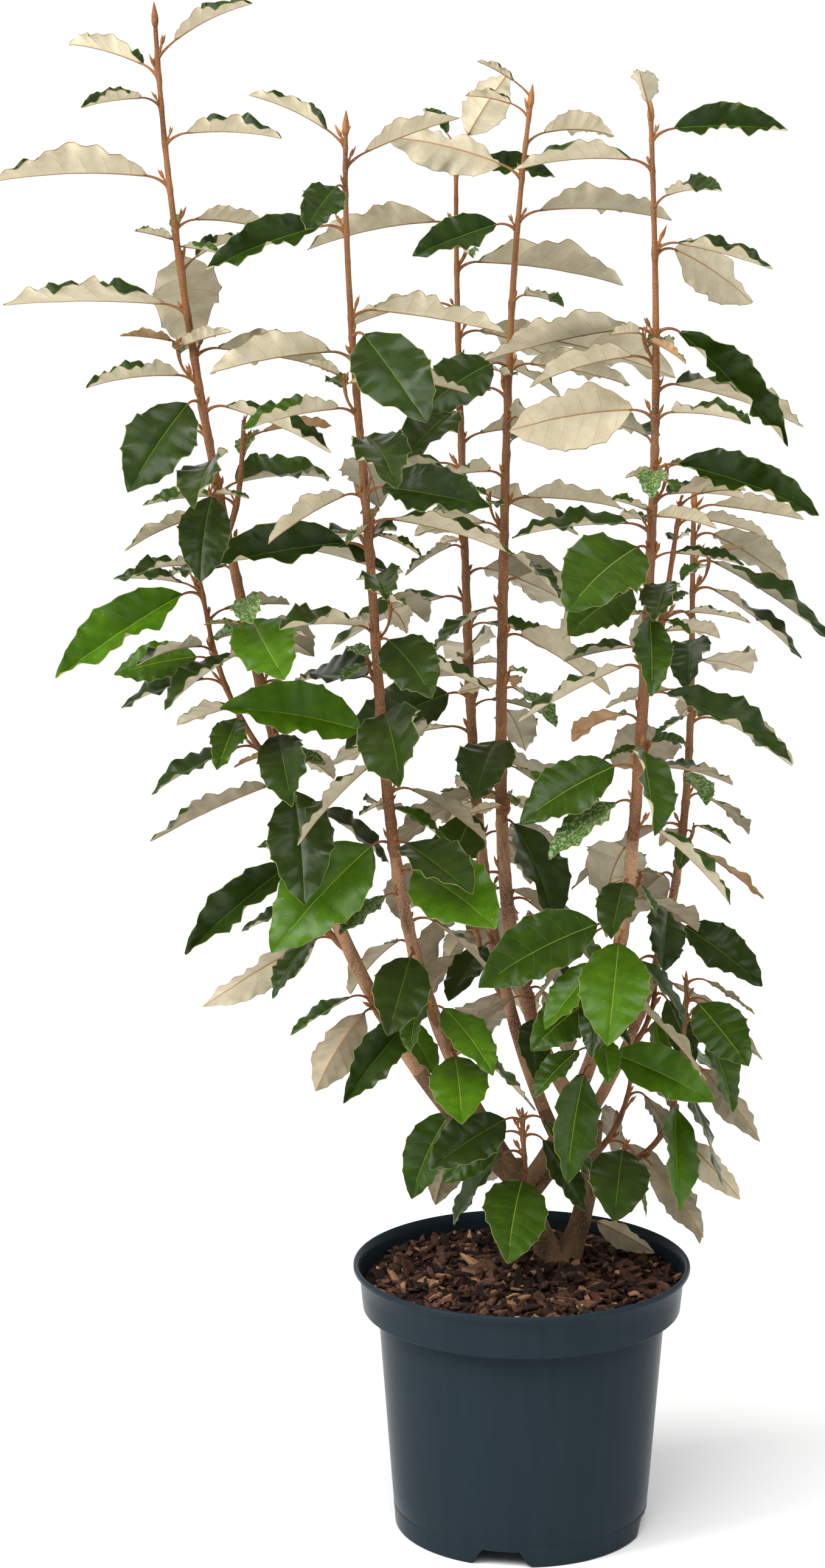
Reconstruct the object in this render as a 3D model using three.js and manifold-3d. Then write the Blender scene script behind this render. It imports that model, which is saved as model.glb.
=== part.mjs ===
// A potted silverberry: six leafy canes on a forked trunk, about a metre tall, in a round nursery pot.
// Millimetres, +Z up. The origin is the middle of the pot's flat underside, and the front faces -Y.
import * as THREE from "three";
import { mergeVertices } from "three/addons/utils/BufferGeometryUtils.js";
import Module from "manifold-3d";

// Pot: a moulded nursery pot with a stepped collar, a rolled lip and four drainage notches.
const POT_HEIGHT = 186;
const LIP_RADIUS = 115;
const LIP_HEIGHT = 4.5;
const COLLAR_TOP_RADIUS = 111;
const COLLAR_FOOT_RADIUS = 108.5;
const COLLAR_FOOT_HEIGHT = 155;
const BODY_TOP_RADIUS = 98;
const BODY_FOOT_RADIUS = 86.4;
const WALL = 2;
const LIP_ROUNDING = 1.3;
const STEP_SLOPE = 2;
const FLOOR_BOSS_RADIUS = 58;
const DRAIN_CHANNEL_HEIGHT = 9;
const NOTCH_FOOT_WIDTH = 39;
const NOTCH_TOP_WIDTH = 27;
const NOTCH_DEPTH = 16;
const NOTCH_DEPTH_INSIDE = 12;
const NOTCH_COUNT = 4;
const NOTCH_TURN = -100.4;
const POT_SEGMENTS = 48;

// Soil: fills the pot to just under the lip, and is heaped a little towards the trunk.
const SOIL_HEIGHT = 176;
const SOIL_EDGE_HEIGHT = 172.5;
const SOIL_HEAP_RADIUS = 72;

// Pieces that touch lie this far apart. Points closer than the weld distance become one.
const SEAT_GAP = 0.3;
const WELD_DISTANCE = 1e-4;

// Plant: its full height, and the place of the upright line that its leaves face away from.
const PLANT_TOP = 1028;
const CROWN_AXIS = [-20, 10];

// The trunk has two limbs that grow from one flared foot.
const ROOT_FLARE = 5;
const FLARE_HEIGHT = 9;

// A stem leaves its foot sideways by `spread`, most of it within the height `knee`, then leans by `lean`
// for each millimetre it rises, and sways by [amount, wavelength, phase]. Its radii are at foot and tip.
// The sway is mostly to the side: SWAY_DEPTH is the share of it that goes to the back.
const SWAY_DEPTH = 0.3;
const TRUNK_LIMBS = [
  {
    name: "left_limb",
    foot: [22, 30, SOIL_HEIGHT + SEAT_GAP],
    rise: 74,
    spread: [0, 0],
    lean: [-0.36, -0.12],
    radii: [7.5, 5.4],
  },
  {
    name: "right_limb",
    foot: [31, 32, SOIL_HEIGHT + SEAT_GAP],
    rise: 100,
    spread: [22, -3],
    knee: 45,
    radii: [7.5, 5.6],
  },
];

// Six canes. `bare` is the height above the ground where the bare bough ends and its foliage begins.
// `leaves` gives the directions of the uppermost leaves from the tip down, as hexadecimal sixteenths of a
// turn seen from above: 0 is right, 4 back, 8 left and c front. The leaves below them keep to a spiral.
// `sizes` gives the same leaves' lengths, in hexadecimal tenths of a full leaf. At 0 the leaf has fallen.
const DIRECTION_STEP = 360 / 16;
const CANES = [
  {
    name: "left",
    foot: [4, 24, 226],
    rise: 802,
    spread: [-252, -60],
    knee: 260,
    lean: [0, -0.02],
    sway: [6, 800, 4.79],
    radii: [5.5, 1.3],
    bare: 455,
    firstLeaf: 34,
    leaves: "0790813809",
    sizes: "6757b65c98",
  },
  {
    name: "left_front",
    foot: [0, 22.6, 238],
    rise: 724,
    spread: [-236, -80],
    knee: 330,
    lean: [0.134, -0.04],
    sway: [8.1, 650, 3.79],
    radii: [5.1, 1.3],
    bare: 398,
    firstLeaf: 22,
    leaves: "80a800819d",
    sizes: "67000a97",
  },
  {
    name: "back",
    foot: [45.5, 30.2, 222],
    rise: 711,
    spread: [-177, 60],
    knee: 260,
    lean: [0.102, 0.02],
    sway: [7.7, 800, 4.59],
    radii: [4.8, 1.3],
    bare: 385,
    firstLeaf: 2,
    leaves: "6018080e",
    sizes: "400ac78",
  },
  {
    name: "centre",
    foot: [50.5, 29, 270],
    rise: 705,
    spread: [-120, 12],
    knee: 120,
    lean: [0.11, 0.015],
    sway: [8.6, 800, 5.8],
    radii: [5.3, 1.3],
    bare: 385,
    firstLeaf: 8,
    leaves: "871804e017",
    sizes: "3460a05c8",
  },
  {
    name: "right",
    foot: [2, 23.3, 232],
    rise: 738,
    spread: [97, -85],
    knee: 160,
    lean: [-0.031, -0.02],
    sway: [1.9, 500, 0.51],
    radii: [5.4, 1.3],
    bare: 405,
    firstLeaf: 14,
    leaves: "c08e00870f",
    sizes: "508670b8c8",
  },
  {
    name: "right_back",
    foot: [5.5, 24.5, 222],
    rise: 485,
    spread: [180, 60],
    knee: 200,
    lean: [-0.065, 0.03],
    sway: [12, 800, 0.92],
    radii: [4.2, 1.4],
    bare: 335,
    firstLeaf: 6,
    leaves: "3010f",
  },
];

// Side shoots that belong to their cane's foliage. `at` is the height where they leave the cane.
const SIDE_SHOOTS = [
  {
    name: "left_shoot",
    on: "left",
    at: 520,
    rise: 146,
    spread: [-72, -12],
    knee: 90,
    size: 0.85,
    leaves: "c80a8d8",
  },
  {
    name: "left_inner_shoot",
    on: "left",
    at: 690,
    rise: 75,
    spread: [16, -4],
    knee: 40,
    size: 0.6,
    leaves: "c048",
  },
  {
    name: "right_shoot",
    on: "right",
    at: 600,
    rise: 115,
    spread: [26, 6],
    knee: 60,
    size: 0.68,
    leaves: "0f4c08f",
  },
];

// Low shoots on the bare boughs and the trunk. Each is a foliage mass of its own.
const LOW_SHOOTS = [
  { name: "low_left_upper", on: "left", at: 404, rise: 30, spread: [-30, -6], leaves: "8a5" },
  { name: "low_left", on: "left", at: 350, rise: 26, spread: [-22, -22], leaves: "9c8" },
  { name: "low_left_front", on: "left_front", at: 352, rise: 32, spread: [-12, -26], leaves: "bda0" },
  { name: "low_front", on: "left_front", at: 320, rise: 34, spread: [-8, -36], leaves: "bdca" },
  { name: "low_right_front", on: "right", at: 368, rise: 44, spread: [8, -30], leaves: "cbe0" },
  { name: "low_middle_front", on: "right", at: 320, rise: 40, spread: [10, -36], leaves: "dabf" },
  { name: "low_back_left", on: "back", at: 352, rise: 46, spread: [-24, 20], leaves: "6835" },
  { name: "low_back", on: "centre", at: 362, rise: 46, spread: [6, 36], leaves: "4352" },
  { name: "low_middle", on: "centre", at: 335, rise: 30, spread: [-6, -14], leaves: "9c0" },
  { name: "low_right_back", on: "right_back", at: 315, rise: 44, spread: [30, 16], leaves: "0e13" },
  { name: "foot_left", on: "left_limb", at: 238, rise: 44, spread: [-40, 20], leaves: "9867" },
  { name: "foot_front", on: "left_limb", at: 223, rise: 72, spread: [-4, -46], leaves: "0e8c" },
  { name: "foot_right", on: "right_limb", at: 235, rise: 145, spread: [64, -14], leaves: "0fe10ed" },
  { name: "foot_right_front", on: "right_limb", at: 223, rise: 46, spread: [30, -40], leaves: "decf" },
  { name: "foot_right_back", on: "right_limb", at: 250, rise: 50, spread: [34, 40], leaves: "2140" },
];
const SHOOT_RADII = [2.2, 1.4];
const SHOOT_KNEE = 24;
const SHOOT_SWAY = [1, 120, 1];
const SHOOT_FIRST_LEAF = 3;
const SIDE_LEAF_GAP = 22;
const LOW_LEAF_GAP = 14;

// Leaves: oval blades on short stalks. A pair of numbers is the range that a seeded dice picks from.
const LEAF_LENGTH = [62, 98];
const FULL_LEAF = 84;
const HALF_WIDTH_SHARE = [0.215, 0.25];
const LEAF_STALK = 15;
const STALK_RISE = 50;
const STALK_HALF_WIDTH = 1.3;
const HALF_THICKNESS = 0.7;
const BLADE_SKEW = 0.85;
const BLADE_FULLNESS = 0.8;
const LEAF_TURN = [-14, 14];
const LEAF_TILT = [-12, 12];
const LEAF_SAG = [8, 26];
const LEAF_CREASE = [-8, 8];
const LEAF_TWIST = [-22, 22];

// Leaves are level and keeled at the top of the plant, and flat, broad and hanging at its foot, in
// degrees. Low leaves also turn their face outwards, and high ones turn it towards the light. The
// exponents say how fast that changes on the way up. The topmost leaves of a stem rise, and
// TIP_RISE_FADE is the number of leaves over which that fades.
const TOP_PITCH = 3;
const FOOT_PITCH = -60;
const PITCH_EXPONENT = 2;
const TIP_RISE = 32;
const TIP_RISE_FADE = 1.4;
const FOOT_FOLD = 6;
const TOP_FOLD = 46;
const FOLD_EXPONENT = 1.1;
const LEAST_FOLD = 3;
const FOOT_FACING = 55;
const FACING_EXPONENT = 2;
const TOP_FACING = 22;
const LIGHT_WAY = [0, 1];
const FOOT_BREADTH = 1.12;
const TOP_BREADTH = 0.95;

// Leaves along a stem: closer and smaller towards its tip, crowded below a certain height, where every
// third one is a young leaf. They are set round the stem in a spiral.
const SPIRAL_TURN = 144;
const FIRST_SEED = 1000;
const SEED_STEP = 37;
const TOP_LEAF_GAP = 27;
const CROWDED_LEAF_GAP = 18;
const CROWDED_BELOW = 830;
const TIP_LEAF_GAP = 13;
const LEAF_GAP_GROWTH = 5;
const TIP_LEAF_SIZE = 0.62;
const LEAF_SIZE_GROWTH = 0.13;
const YOUNG_LEAF_SIZE = 0.66;
const YOUNG_LEAF_EVERY = 3;

// Broad leaves that show their face to the front and a little up, or their underside where `face` is -1.
// `at` is a height above the ground, and `way` and `slope` are in degrees. They take their room before
// the others. The more a leaf is folded the narrower it is: it would have no width at CLOSING_FOLD.
const BROAD_HALF_WIDTH_SHARE = 0.305;
const CLOSING_FOLD = 150;
const BROAD_SAG = 14;
const BROAD_FOLD = 12;
const BROAD_FACE = [0, -0.8, 0.6];
const BROAD_LEAVES = [
  { on: "left", at: 868, way: 85, slope: -45, length: 76, face: -1 },
  { on: "left", at: 774, way: 236, slope: -32, length: 78 },
  { on: "left", at: 716, way: 255, slope: -45, length: 62 },
  { on: "left", at: 631, way: 285, slope: -15, length: 80 },
  { on: "left", at: 521, way: 285, slope: -50, length: 82 },
  { on: "left", at: 465, way: 190, slope: -35, length: 95, fold: 50 },
  { on: "left_shoot", at: 648, way: 205, slope: -25, length: 100, fold: 42 },
  { on: "left_shoot", at: 603, way: 185, slope: -5, length: 56 },
  { on: "left_front", at: 912, way: 248, slope: -20, length: 50, fold: 20 },
  { on: "left_front", at: 886, way: 192, slope: -12, length: 75, fold: 48 },
  { on: "left_front", at: 820, way: 300, slope: -28, length: 84 },
  { on: "left_front", at: 718, way: 320, slope: 0, length: 85, fold: 36 },
  { on: "left_front", at: 681, way: 180, slope: -5, length: 95, fold: 46 },
  { on: "left_front", at: 620, way: 300, slope: -15, length: 70 },
  { on: "left_front", at: 552, way: 195, slope: 20, length: 100, fold: 34 },
  { on: "left_front", at: 482, way: 210, slope: -20, length: 102 },
  { on: "left_front", at: 461, way: 308, slope: -5, length: 98 },
  { on: "left_front", at: 404, way: 258, slope: -26, length: 74 },
  { on: "centre", at: 914, way: 175, slope: 22, length: 76, fold: 40, face: -1 },
  { on: "centre", at: 880, way: 203, slope: -14, length: 58, fold: 30 },
  { on: "centre", at: 789, way: 220, slope: -15, length: 66 },
  { on: "back", at: 928, way: 35, slope: 55, length: 50, face: -1 },
  { on: "back", at: 914, way: 5, slope: 0, length: 50, fold: 44 },
  { on: "back", at: 560, way: 200, slope: -15, length: 85 },
  { on: "right", at: 944, way: 358, slope: 6, length: 66, fold: 44 },
  { on: "right", at: 872, way: 30, slope: -22, length: 66, face: -1 },
  { on: "right", at: 823, way: 355, slope: -40, length: 96, fold: 58 },
  { on: "right", at: 735, way: 345, slope: -10, length: 95, fold: 52 },
  { on: "right", at: 768, way: 158, slope: -4, length: 84, fold: 16, face: -1 },
  { on: "right", at: 683, way: 235, slope: -10, length: 95 },
  { on: "right", at: 655, way: 225, slope: -10, length: 68 },
  { on: "right", at: 538, way: 195, slope: -20, length: 75 },
  { on: "right", at: 428, way: 195, slope: -15, length: 95, fold: 24 },
  { on: "right", at: 420, way: 263, slope: -30, length: 89 },
  { on: "right_back", at: 403, way: 320, slope: -20, length: 75, fold: 30 },
  { on: "low_left_upper", at: 412, way: 190, slope: -25, length: 92, fold: 50, face: -1 },
  { on: "low_left", at: 364, way: 235, slope: -25, length: 76, fold: 34, face: -1 },
  { on: "low_left_front", at: 364, way: 200, slope: -30, length: 85, fold: 42 },
  { on: "low_front", at: 334, way: 275, slope: -15, length: 76 },
  { on: "low_right_front", at: 380, way: 215, slope: -20, length: 62 },
  { on: "low_middle_front", at: 338, way: 330, slope: -10, length: 82, fold: 30 },
  { on: "foot_left", at: 281, way: 190, slope: -55, length: 70, fold: 22 },
  { on: "foot_front", at: 290, way: 215, slope: -15, length: 70 },
  { on: "foot_front", at: 280, way: 190, slope: -30, length: 55 },
  { on: "foot_front", at: 245, way: 258, slope: -18, length: 85 },
  { on: "foot_right", at: 363, way: 300, slope: -22, length: 68 },
  { on: "foot_right", at: 318, way: 350, slope: -45, length: 68, fold: 46, face: -1 },
  { on: "foot_right", at: 270, way: 320, slope: -30, length: 65, fold: 44, face: -1 },
  { on: "foot_right", at: 250, way: 315, slope: -35, length: 68, fold: 46, face: -1 },
  { on: "foot_right_front", at: 266, way: 262, slope: -15, length: 80 },
];

// Shares of a blade where its solid has a section, and where its distance to other things is measured.
const BLADE_STATIONS = [0, 0.26, 0.68];
const MIDRIB_STEPS = 12;
const PROBE_STATIONS = [0.1, 0.22, 0.34, 0.46, 0.58, 0.7, 0.82, 0.92];
const PROBE_SIDES = [1, 0.5, 0, -0.5, -1];

// Room that a leaf keeps to other leaves, limbs and the pot, and what is tried where there is none.
const LEAF_ROOM = 8;
const LIMB_ROOM = 4;
const LIMB_POINT_SPACING = 6;
const OWN_STALK_ROOM = LEAF_STALK + 2;
const SOIL_ROOM = 2;
const NUDGES = [0, 22, -22, 44, -44, 66, -66];
const DIPS = [0, -14, 14];
const RIM_ROOM_RADIUS = 122;
const RIM_ROOM_HEIGHT = 196;

// Facets of the stems. The rings of a piece that starts at the ground are closer at its foot.
const TRUNK_SIDES = 12;
const BOUGH_SIDES = 8;
const TWIG_SIDES = 5;
const RING_SPACING = 26;
const FEWEST_RINGS = 4;
const FOOT_CROWDING = 1.5;

const BARK = new THREE.MeshStandardMaterial({ color: 0x8a6a4e, roughness: 0.85, metalness: 0 });
const FOLIAGE = new THREE.MeshStandardMaterial({ color: 0x4a7a30, roughness: 0.45, metalness: 0 });
const POT_PLASTIC = new THREE.MeshStandardMaterial({ color: 0x2c363d, roughness: 0.4, metalness: 0 });
const MULCH = new THREE.MeshStandardMaterial({ color: 0x4a2c20, roughness: 0.95, metalness: 0 });

const UP = new THREE.Vector3(0, 0, 1);
const radians = THREE.MathUtils.degToRad;
const mix = THREE.MathUtils.lerp;
const limit = THREE.MathUtils.clamp;

const wasm = await Module();
wasm.setup();

// A seeded dice that gives the same throws on every run: each state is the last one times a fixed factor,
// less whole multiples of a prime number.
const DICE_FACTOR = 48271;
const DICE_PRIME = 2 ** 31 - 1;

class Dice {
  constructor(seed) {
    this.state = seed;
  }

  roll([low, high]) {
    this.state = (this.state * DICE_FACTOR) % DICE_PRIME;
    return mix(low, high, this.state / DICE_PRIME);
  }
}

// A trunk limb, a cane or a shoot, as a curve that rises from its foot.
const STEM_DEFAULTS = {
  lean: [0, 0],
  sway: [0, 1, 0],
  knee: SHOOT_KNEE,
  radii: SHOOT_RADII,
  flare: 0,
  size: 1,
  sizes: "",
  most: Infinity,
};

class Stem {
  constructor(values) {
    Object.assign(this, STEM_DEFAULTS, values);
  }

  // The stem's centre at a height above its foot.
  centre(height) {
    const turned = 1 - Math.exp(-height / this.knee);
    const [amount, wavelength, phase] = this.sway;
    const swayed = amount * (Math.sin((2 * Math.PI * height) / wavelength + phase) - Math.sin(phase));
    return new THREE.Vector3(
      this.foot[0] + this.spread[0] * turned + this.lean[0] * height + swayed,
      this.foot[1] + this.spread[1] * turned + this.lean[1] * height + SWAY_DEPTH * swayed,
      this.foot[2] + height,
    );
  }

  radius(height) {
    const share = limit(height / this.rise, 0, 1);
    return mix(this.radii[0], this.radii[1], share) + this.flare * Math.exp(-height / FLARE_HEIGHT);
  }

  direction(height) {
    return this.centre(height + 0.5).sub(this.centre(height - 0.5)).normalize();
  }

  // The solid between two heights above the foot, `extra` fatter and longer all round.
  solid(sides, from = 0, to = this.rise, extra = 0) {
    const rings = Math.max(FEWEST_RINGS, Math.round((to - from) / RING_SPACING));
    const crowding = from > 0 ? 1 : FOOT_CROWDING;
    const geometry = new THREE.CylinderGeometry(1, 1, 1, sides, rings).rotateX(Math.PI / 2);
    const turn = new THREE.Quaternion();
    return moulded(geometry, (point) => {
      const share = Math.pow(point.z + 0.5, crowding);
      const height = mix(from - extra, to + extra, share);
      turn.setFromUnitVectors(UP, height < this.flare ? UP : this.direction(height));
      const radius = this.radius(height) + extra;
      const around = new THREE.Vector3(point.x * radius, point.y * radius, 0);
      return around.applyQuaternion(turn).add(this.centre(height));
    });
  }
}

// One leaf. Its blade starts at a slope and sags from there, and its halves fold up from the midrib.
class Leaf {
  constructor(values) {
    Object.assign(this, values);
    this.out = new THREE.Vector3(Math.cos(this.aim), Math.sin(this.aim), 0);
    this.stalk = LEAF_STALK + this.stemRadius;
  }

  // Slope of the midrib at a distance from the stem's centre.
  slope(distance) {
    if (distance < this.stalk) return mix(radians(STALK_RISE), this.pitch, distance / this.stalk);
    return this.pitch - (this.sag * (distance - this.stalk)) / this.length;
  }

  along(distance) {
    const slope = this.slope(distance);
    return this.out.clone().multiplyScalar(Math.cos(slope)).addScaledVector(UP, Math.sin(slope));
  }

  // The midrib's point at a share of the blade, with the directions across and out of the blade there.
  section(share) {
    const reach = this.stalk + share * this.length;
    const step = reach / MIDRIB_STEPS;
    const point = this.root.clone();
    for (let i = 0; i < MIDRIB_STEPS; i++) point.addScaledVector(this.along((i + 0.5) * step), step);
    const along = this.along(reach);
    const across = new THREE.Vector3(-this.out.y, this.out.x, 0).applyAxisAngle(along, this.roll);
    return { point, across, normal: new THREE.Vector3().crossVectors(along, across) };
  }

  halfWidth(share) {
    const bulge = Math.sin(Math.PI * Math.pow(share, BLADE_SKEW));
    return Math.max(this.width * Math.pow(Math.max(bulge, 0), BLADE_FULLNESS), STALK_HALF_WIDTH);
  }

  // A point of the blade: `side` runs from -1 at one margin to 1 at the other.
  bladePoint(share, side) {
    const { point, across, normal } = this.section(share);
    const width = this.halfWidth(share) * side;
    return point
      .addScaledVector(across, width * Math.cos(this.fold))
      .addScaledVector(normal, Math.abs(width) * Math.sin(this.fold));
  }

  // Points spread over the blade, to measure how close it comes to other things.
  probes() {
    const points = PROBE_STATIONS.flatMap((share) =>
      PROBE_SIDES.map((side) => this.bladePoint(share, side)),
    );
    return [...points, this.section(1).point];
  }

  // The solid: a coarse sphere whose poles become the root and the tip.
  solid() {
    const geometry = new THREE.SphereGeometry(1, 4, BLADE_STATIONS.length + 1);
    const last = BLADE_STATIONS.length + 1;
    return moulded(geometry, (point) => {
      const ring = Math.round((Math.acos(limit(point.y, -1, 1)) / Math.PI) * last);
      if (ring === 0) return this.root.clone();
      if (ring === last) return this.section(1).point;
      const share = BLADE_STATIONS[ring - 1];
      if (Math.abs(point.x) > Math.abs(point.z)) return this.bladePoint(share, Math.sign(point.x));
      const half = ring === 1 ? STALK_HALF_WIDTH : HALF_THICKNESS / Math.cos(this.fold);
      const { point: middle, normal } = this.section(share);
      return middle.addScaledVector(normal, Math.sign(point.z) * half);
    });
  }
}

// The growing plant: what already takes up room, and which leaves each stem bears.
class Crown {
  constructor(stems) {
    this.bladePoints = [];
    this.limbPoints = stems.flatMap((stem) => {
      const count = Math.ceil(stem.rise / LIMB_POINT_SPACING);
      return Array.from({ length: count + 1 }, (_, i) => {
        const height = (stem.rise * i) / count;
        return { point: stem.centre(height), radius: stem.radius(height) };
      });
    });
  }

  // Whether a leaf keeps clear of the pot, the soil, the limbs, the other leaves and the plant's top.
  isFree(leaf, points) {
    for (const p of points) {
      if (p.z > PLANT_TOP || p.z < SOIL_HEIGHT + SOIL_ROOM) return false;
      if (p.z < RIM_ROOM_HEIGHT && Math.hypot(p.x, p.y) < RIM_ROOM_RADIUS) return false;
      if (this.bladePoints.some((other) => other.distanceTo(p) < LEAF_ROOM)) return false;
    }
    const own = leaf.stemRadius + OWN_STALK_ROOM;
    return this.limbPoints.every(
      ({ point, radius }) =>
        point.distanceTo(leaf.root) <= own ||
        points.every((p) => p.distanceTo(point) >= radius + LIMB_ROOM),
    );
  }

  // The leaves of one stem, from its tip down. A leaf that finds no room is left out.
  grow(stem, seed) {
    const dice = new Dice(seed);
    const grown = [];
    const lowest = (stem.bare ?? stem.foot[2]) - stem.foot[2];
    let height = stem.rise - stem.firstLeaf;
    let way = 0;
    for (let count = 0; height > lowest && count < stem.most; count++) {
      const listed = count < stem.leaves.length;
      way = listed ? parseInt(stem.leaves[count], 16) * DIRECTION_STEP : way + SPIRAL_TURN;
      const young = !listed && count % YOUNG_LEAF_EVERY === YOUNG_LEAF_EVERY - 1;
      const usual = Math.min(1, TIP_LEAF_SIZE + LEAF_SIZE_GROWTH * count);
      const share = count < stem.sizes.length ? parseInt(stem.sizes[count], 16) / 10 : usual;
      const leaf = this.fit(stem, height, way, count, young ? share * YOUNG_LEAF_SIZE : share, dice);
      if (leaf) grown.push(leaf);
      const openGap = stem.foot[2] + height > CROWDED_BELOW ? TOP_LEAF_GAP : CROWDED_LEAF_GAP;
      height -= Math.min(stem.leafGap ?? openGap, TIP_LEAF_GAP + LEAF_GAP_GROWTH * count);
    }
    return grown;
  }

  // The leaf of these values, turned and dipped until it is clear, or nothing.
  settle(values) {
    for (const nudge of NUDGES) {
      for (const dip of DIPS) {
        const aim = values.aim + radians(nudge);
        const leaf = new Leaf({ ...values, aim, pitch: values.pitch + radians(dip) });
        const points = leaf.probes();
        if (!this.isFree(leaf, points)) continue;
        this.bladePoints.push(...points);
        return leaf;
      }
    }
    return null;
  }

  // One of the broad leaves, rolled about its midrib until it faces the front.
  place(stem, { at, way, slope, length, fold = BROAD_FOLD, face = 1 }) {
    const aim = radians(way);
    const pitch = radians(slope);
    const middle = pitch - radians(BROAD_SAG) / 2;
    const out = new THREE.Vector3(Math.cos(aim), Math.sin(aim), 0);
    const along = out.clone().multiplyScalar(Math.cos(middle)).addScaledVector(UP, Math.sin(middle));
    const flat = new THREE.Vector3(-out.y, out.x, 0);
    const shown = new THREE.Vector3(...BROAD_FACE).multiplyScalar(face);
    return this.settle({
      root: stem.centre(at - stem.foot[2]),
      aim,
      length,
      width: length * BROAD_HALF_WIDTH_SHARE * (1 - fold / CLOSING_FOLD),
      stemRadius: stem.radius(at - stem.foot[2]),
      pitch,
      sag: radians(BROAD_SAG),
      fold: radians(fold),
      roll: Math.atan2(-shown.dot(flat), shown.dot(along.cross(flat))),
    });
  }

  // One leaf of a stem's spiral, `count` leaves below its tip.
  fit(stem, height, way, count, share, dice) {
    const turn = dice.roll(LEAF_TURN);
    const usualLength = dice.roll(LEAF_LENGTH);
    const length = (count < stem.sizes.length ? FULL_LEAF : usualLength) * stem.size * share;
    const halfWidth = dice.roll(HALF_WIDTH_SHARE);
    const tilt = dice.roll(LEAF_TILT);
    const sag = dice.roll(LEAF_SAG);
    const crease = dice.roll(LEAF_CREASE);
    const twist = dice.roll(LEAF_TWIST);
    if (share === 0) return null;
    const root = stem.centre(height);
    const level = limit((root.z - SOIL_HEIGHT) / (PLANT_TOP - SOIL_HEIGHT), 0, 1);
    const rise = TIP_RISE * level * Math.exp(-count / TIP_RISE_FADE);
    const pitch = mix(TOP_PITCH, FOOT_PITCH, Math.pow(1 - level, PITCH_EXPONENT)) + tilt + rise;
    const usualFold = mix(FOOT_FOLD, TOP_FOLD, Math.pow(level, FOLD_EXPONENT));
    const away = new THREE.Vector2(root.x - CROWN_AXIS[0], root.y - CROWN_AXIS[1]);
    away.divideScalar(Math.max(away.length(), 1)).multiplyScalar(FOOT_FACING);
    const light = new THREE.Vector2(...LIGHT_WAY).multiplyScalar(TOP_FACING);
    const face = away.multiplyScalar(Math.pow(1 - level, FACING_EXPONENT)).add(light.multiplyScalar(level));
    const aim = radians(way + turn);
    return this.settle({
      root,
      aim,
      length,
      width: length * halfWidth * mix(FOOT_BREADTH, TOP_BREADTH, level),
      stemRadius: stem.radius(height),
      pitch: radians(pitch),
      sag: radians(sag),
      fold: radians(Math.max(usualFold + crease, LEAST_FOLD)),
      roll: radians(twist + face.x * Math.sin(aim) - face.y * Math.cos(aim)),
    });
  }
}

// A closed solid from a geometry whose points are first moved one by one.
function moulded(geometry, move) {
  const positions = geometry.getAttribute("position");
  const point = new THREE.Vector3();
  for (let i = 0; i < positions.count; i++) {
    const moved = move(point.fromBufferAttribute(positions, i));
    positions.setXYZ(i, moved.x, moved.y, moved.z);
  }
  return solidOf(geometry);
}

// The geometry as a solid that can be cut and joined.
function solidOf(geometry) {
  geometry.deleteAttribute("normal");
  geometry.deleteAttribute("uv");
  const merged = mergeVertices(geometry, WELD_DISTANCE);
  const corners = merged.index.array;
  const kept = [];
  for (let i = 0; i < corners.length; i += 3) {
    const [a, b, c] = corners.subarray(i, i + 3);
    if (a !== b && b !== c && c !== a) kept.push(a, b, c);
  }
  return new wasm.Manifold(
    new wasm.Mesh({
      numProp: 3,
      vertProperties: merged.attributes.position.array,
      triVerts: new Uint32Array(kept),
    }),
  );
}

// The largest body of a solid, without loose scraps.
function largestBody(solid) {
  return solid.decompose().reduce((best, body) => (body.volume() > best.volume() ? body : best));
}

function joined(solids) {
  return wasm.Manifold.union(solids);
}

function clearOf(solid, others) {
  return largestBody(others.reduce((left, other) => left.subtract(other), solid));
}

function meshOf(name, solid, material) {
  const { numProp, vertProperties, triVerts } = solid.getMesh();
  const positions = new Float32Array((vertProperties.length / numProp) * 3);
  for (let i = 0; i < positions.length / 3; i++) {
    positions.set(vertProperties.subarray(i * numProp, i * numProp + 3), i * 3);
  }
  const geometry = new THREE.BufferGeometry();
  geometry.setAttribute("position", new THREE.BufferAttribute(positions, 3));
  geometry.setIndex(new THREE.BufferAttribute(triVerts, 1));
  geometry.computeVertexNormals();
  const mesh = new THREE.Mesh(geometry, material);
  mesh.name = name;
  return mesh;
}

// A turned solid from [radius, height] pairs, listed with the material on the left of the path.
function turned(profile) {
  const points = profile.map(([radius, height]) => new THREE.Vector2(radius, height));
  return solidOf(new THREE.LatheGeometry(points, POT_SEGMENTS).rotateX(Math.PI / 2));
}

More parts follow.
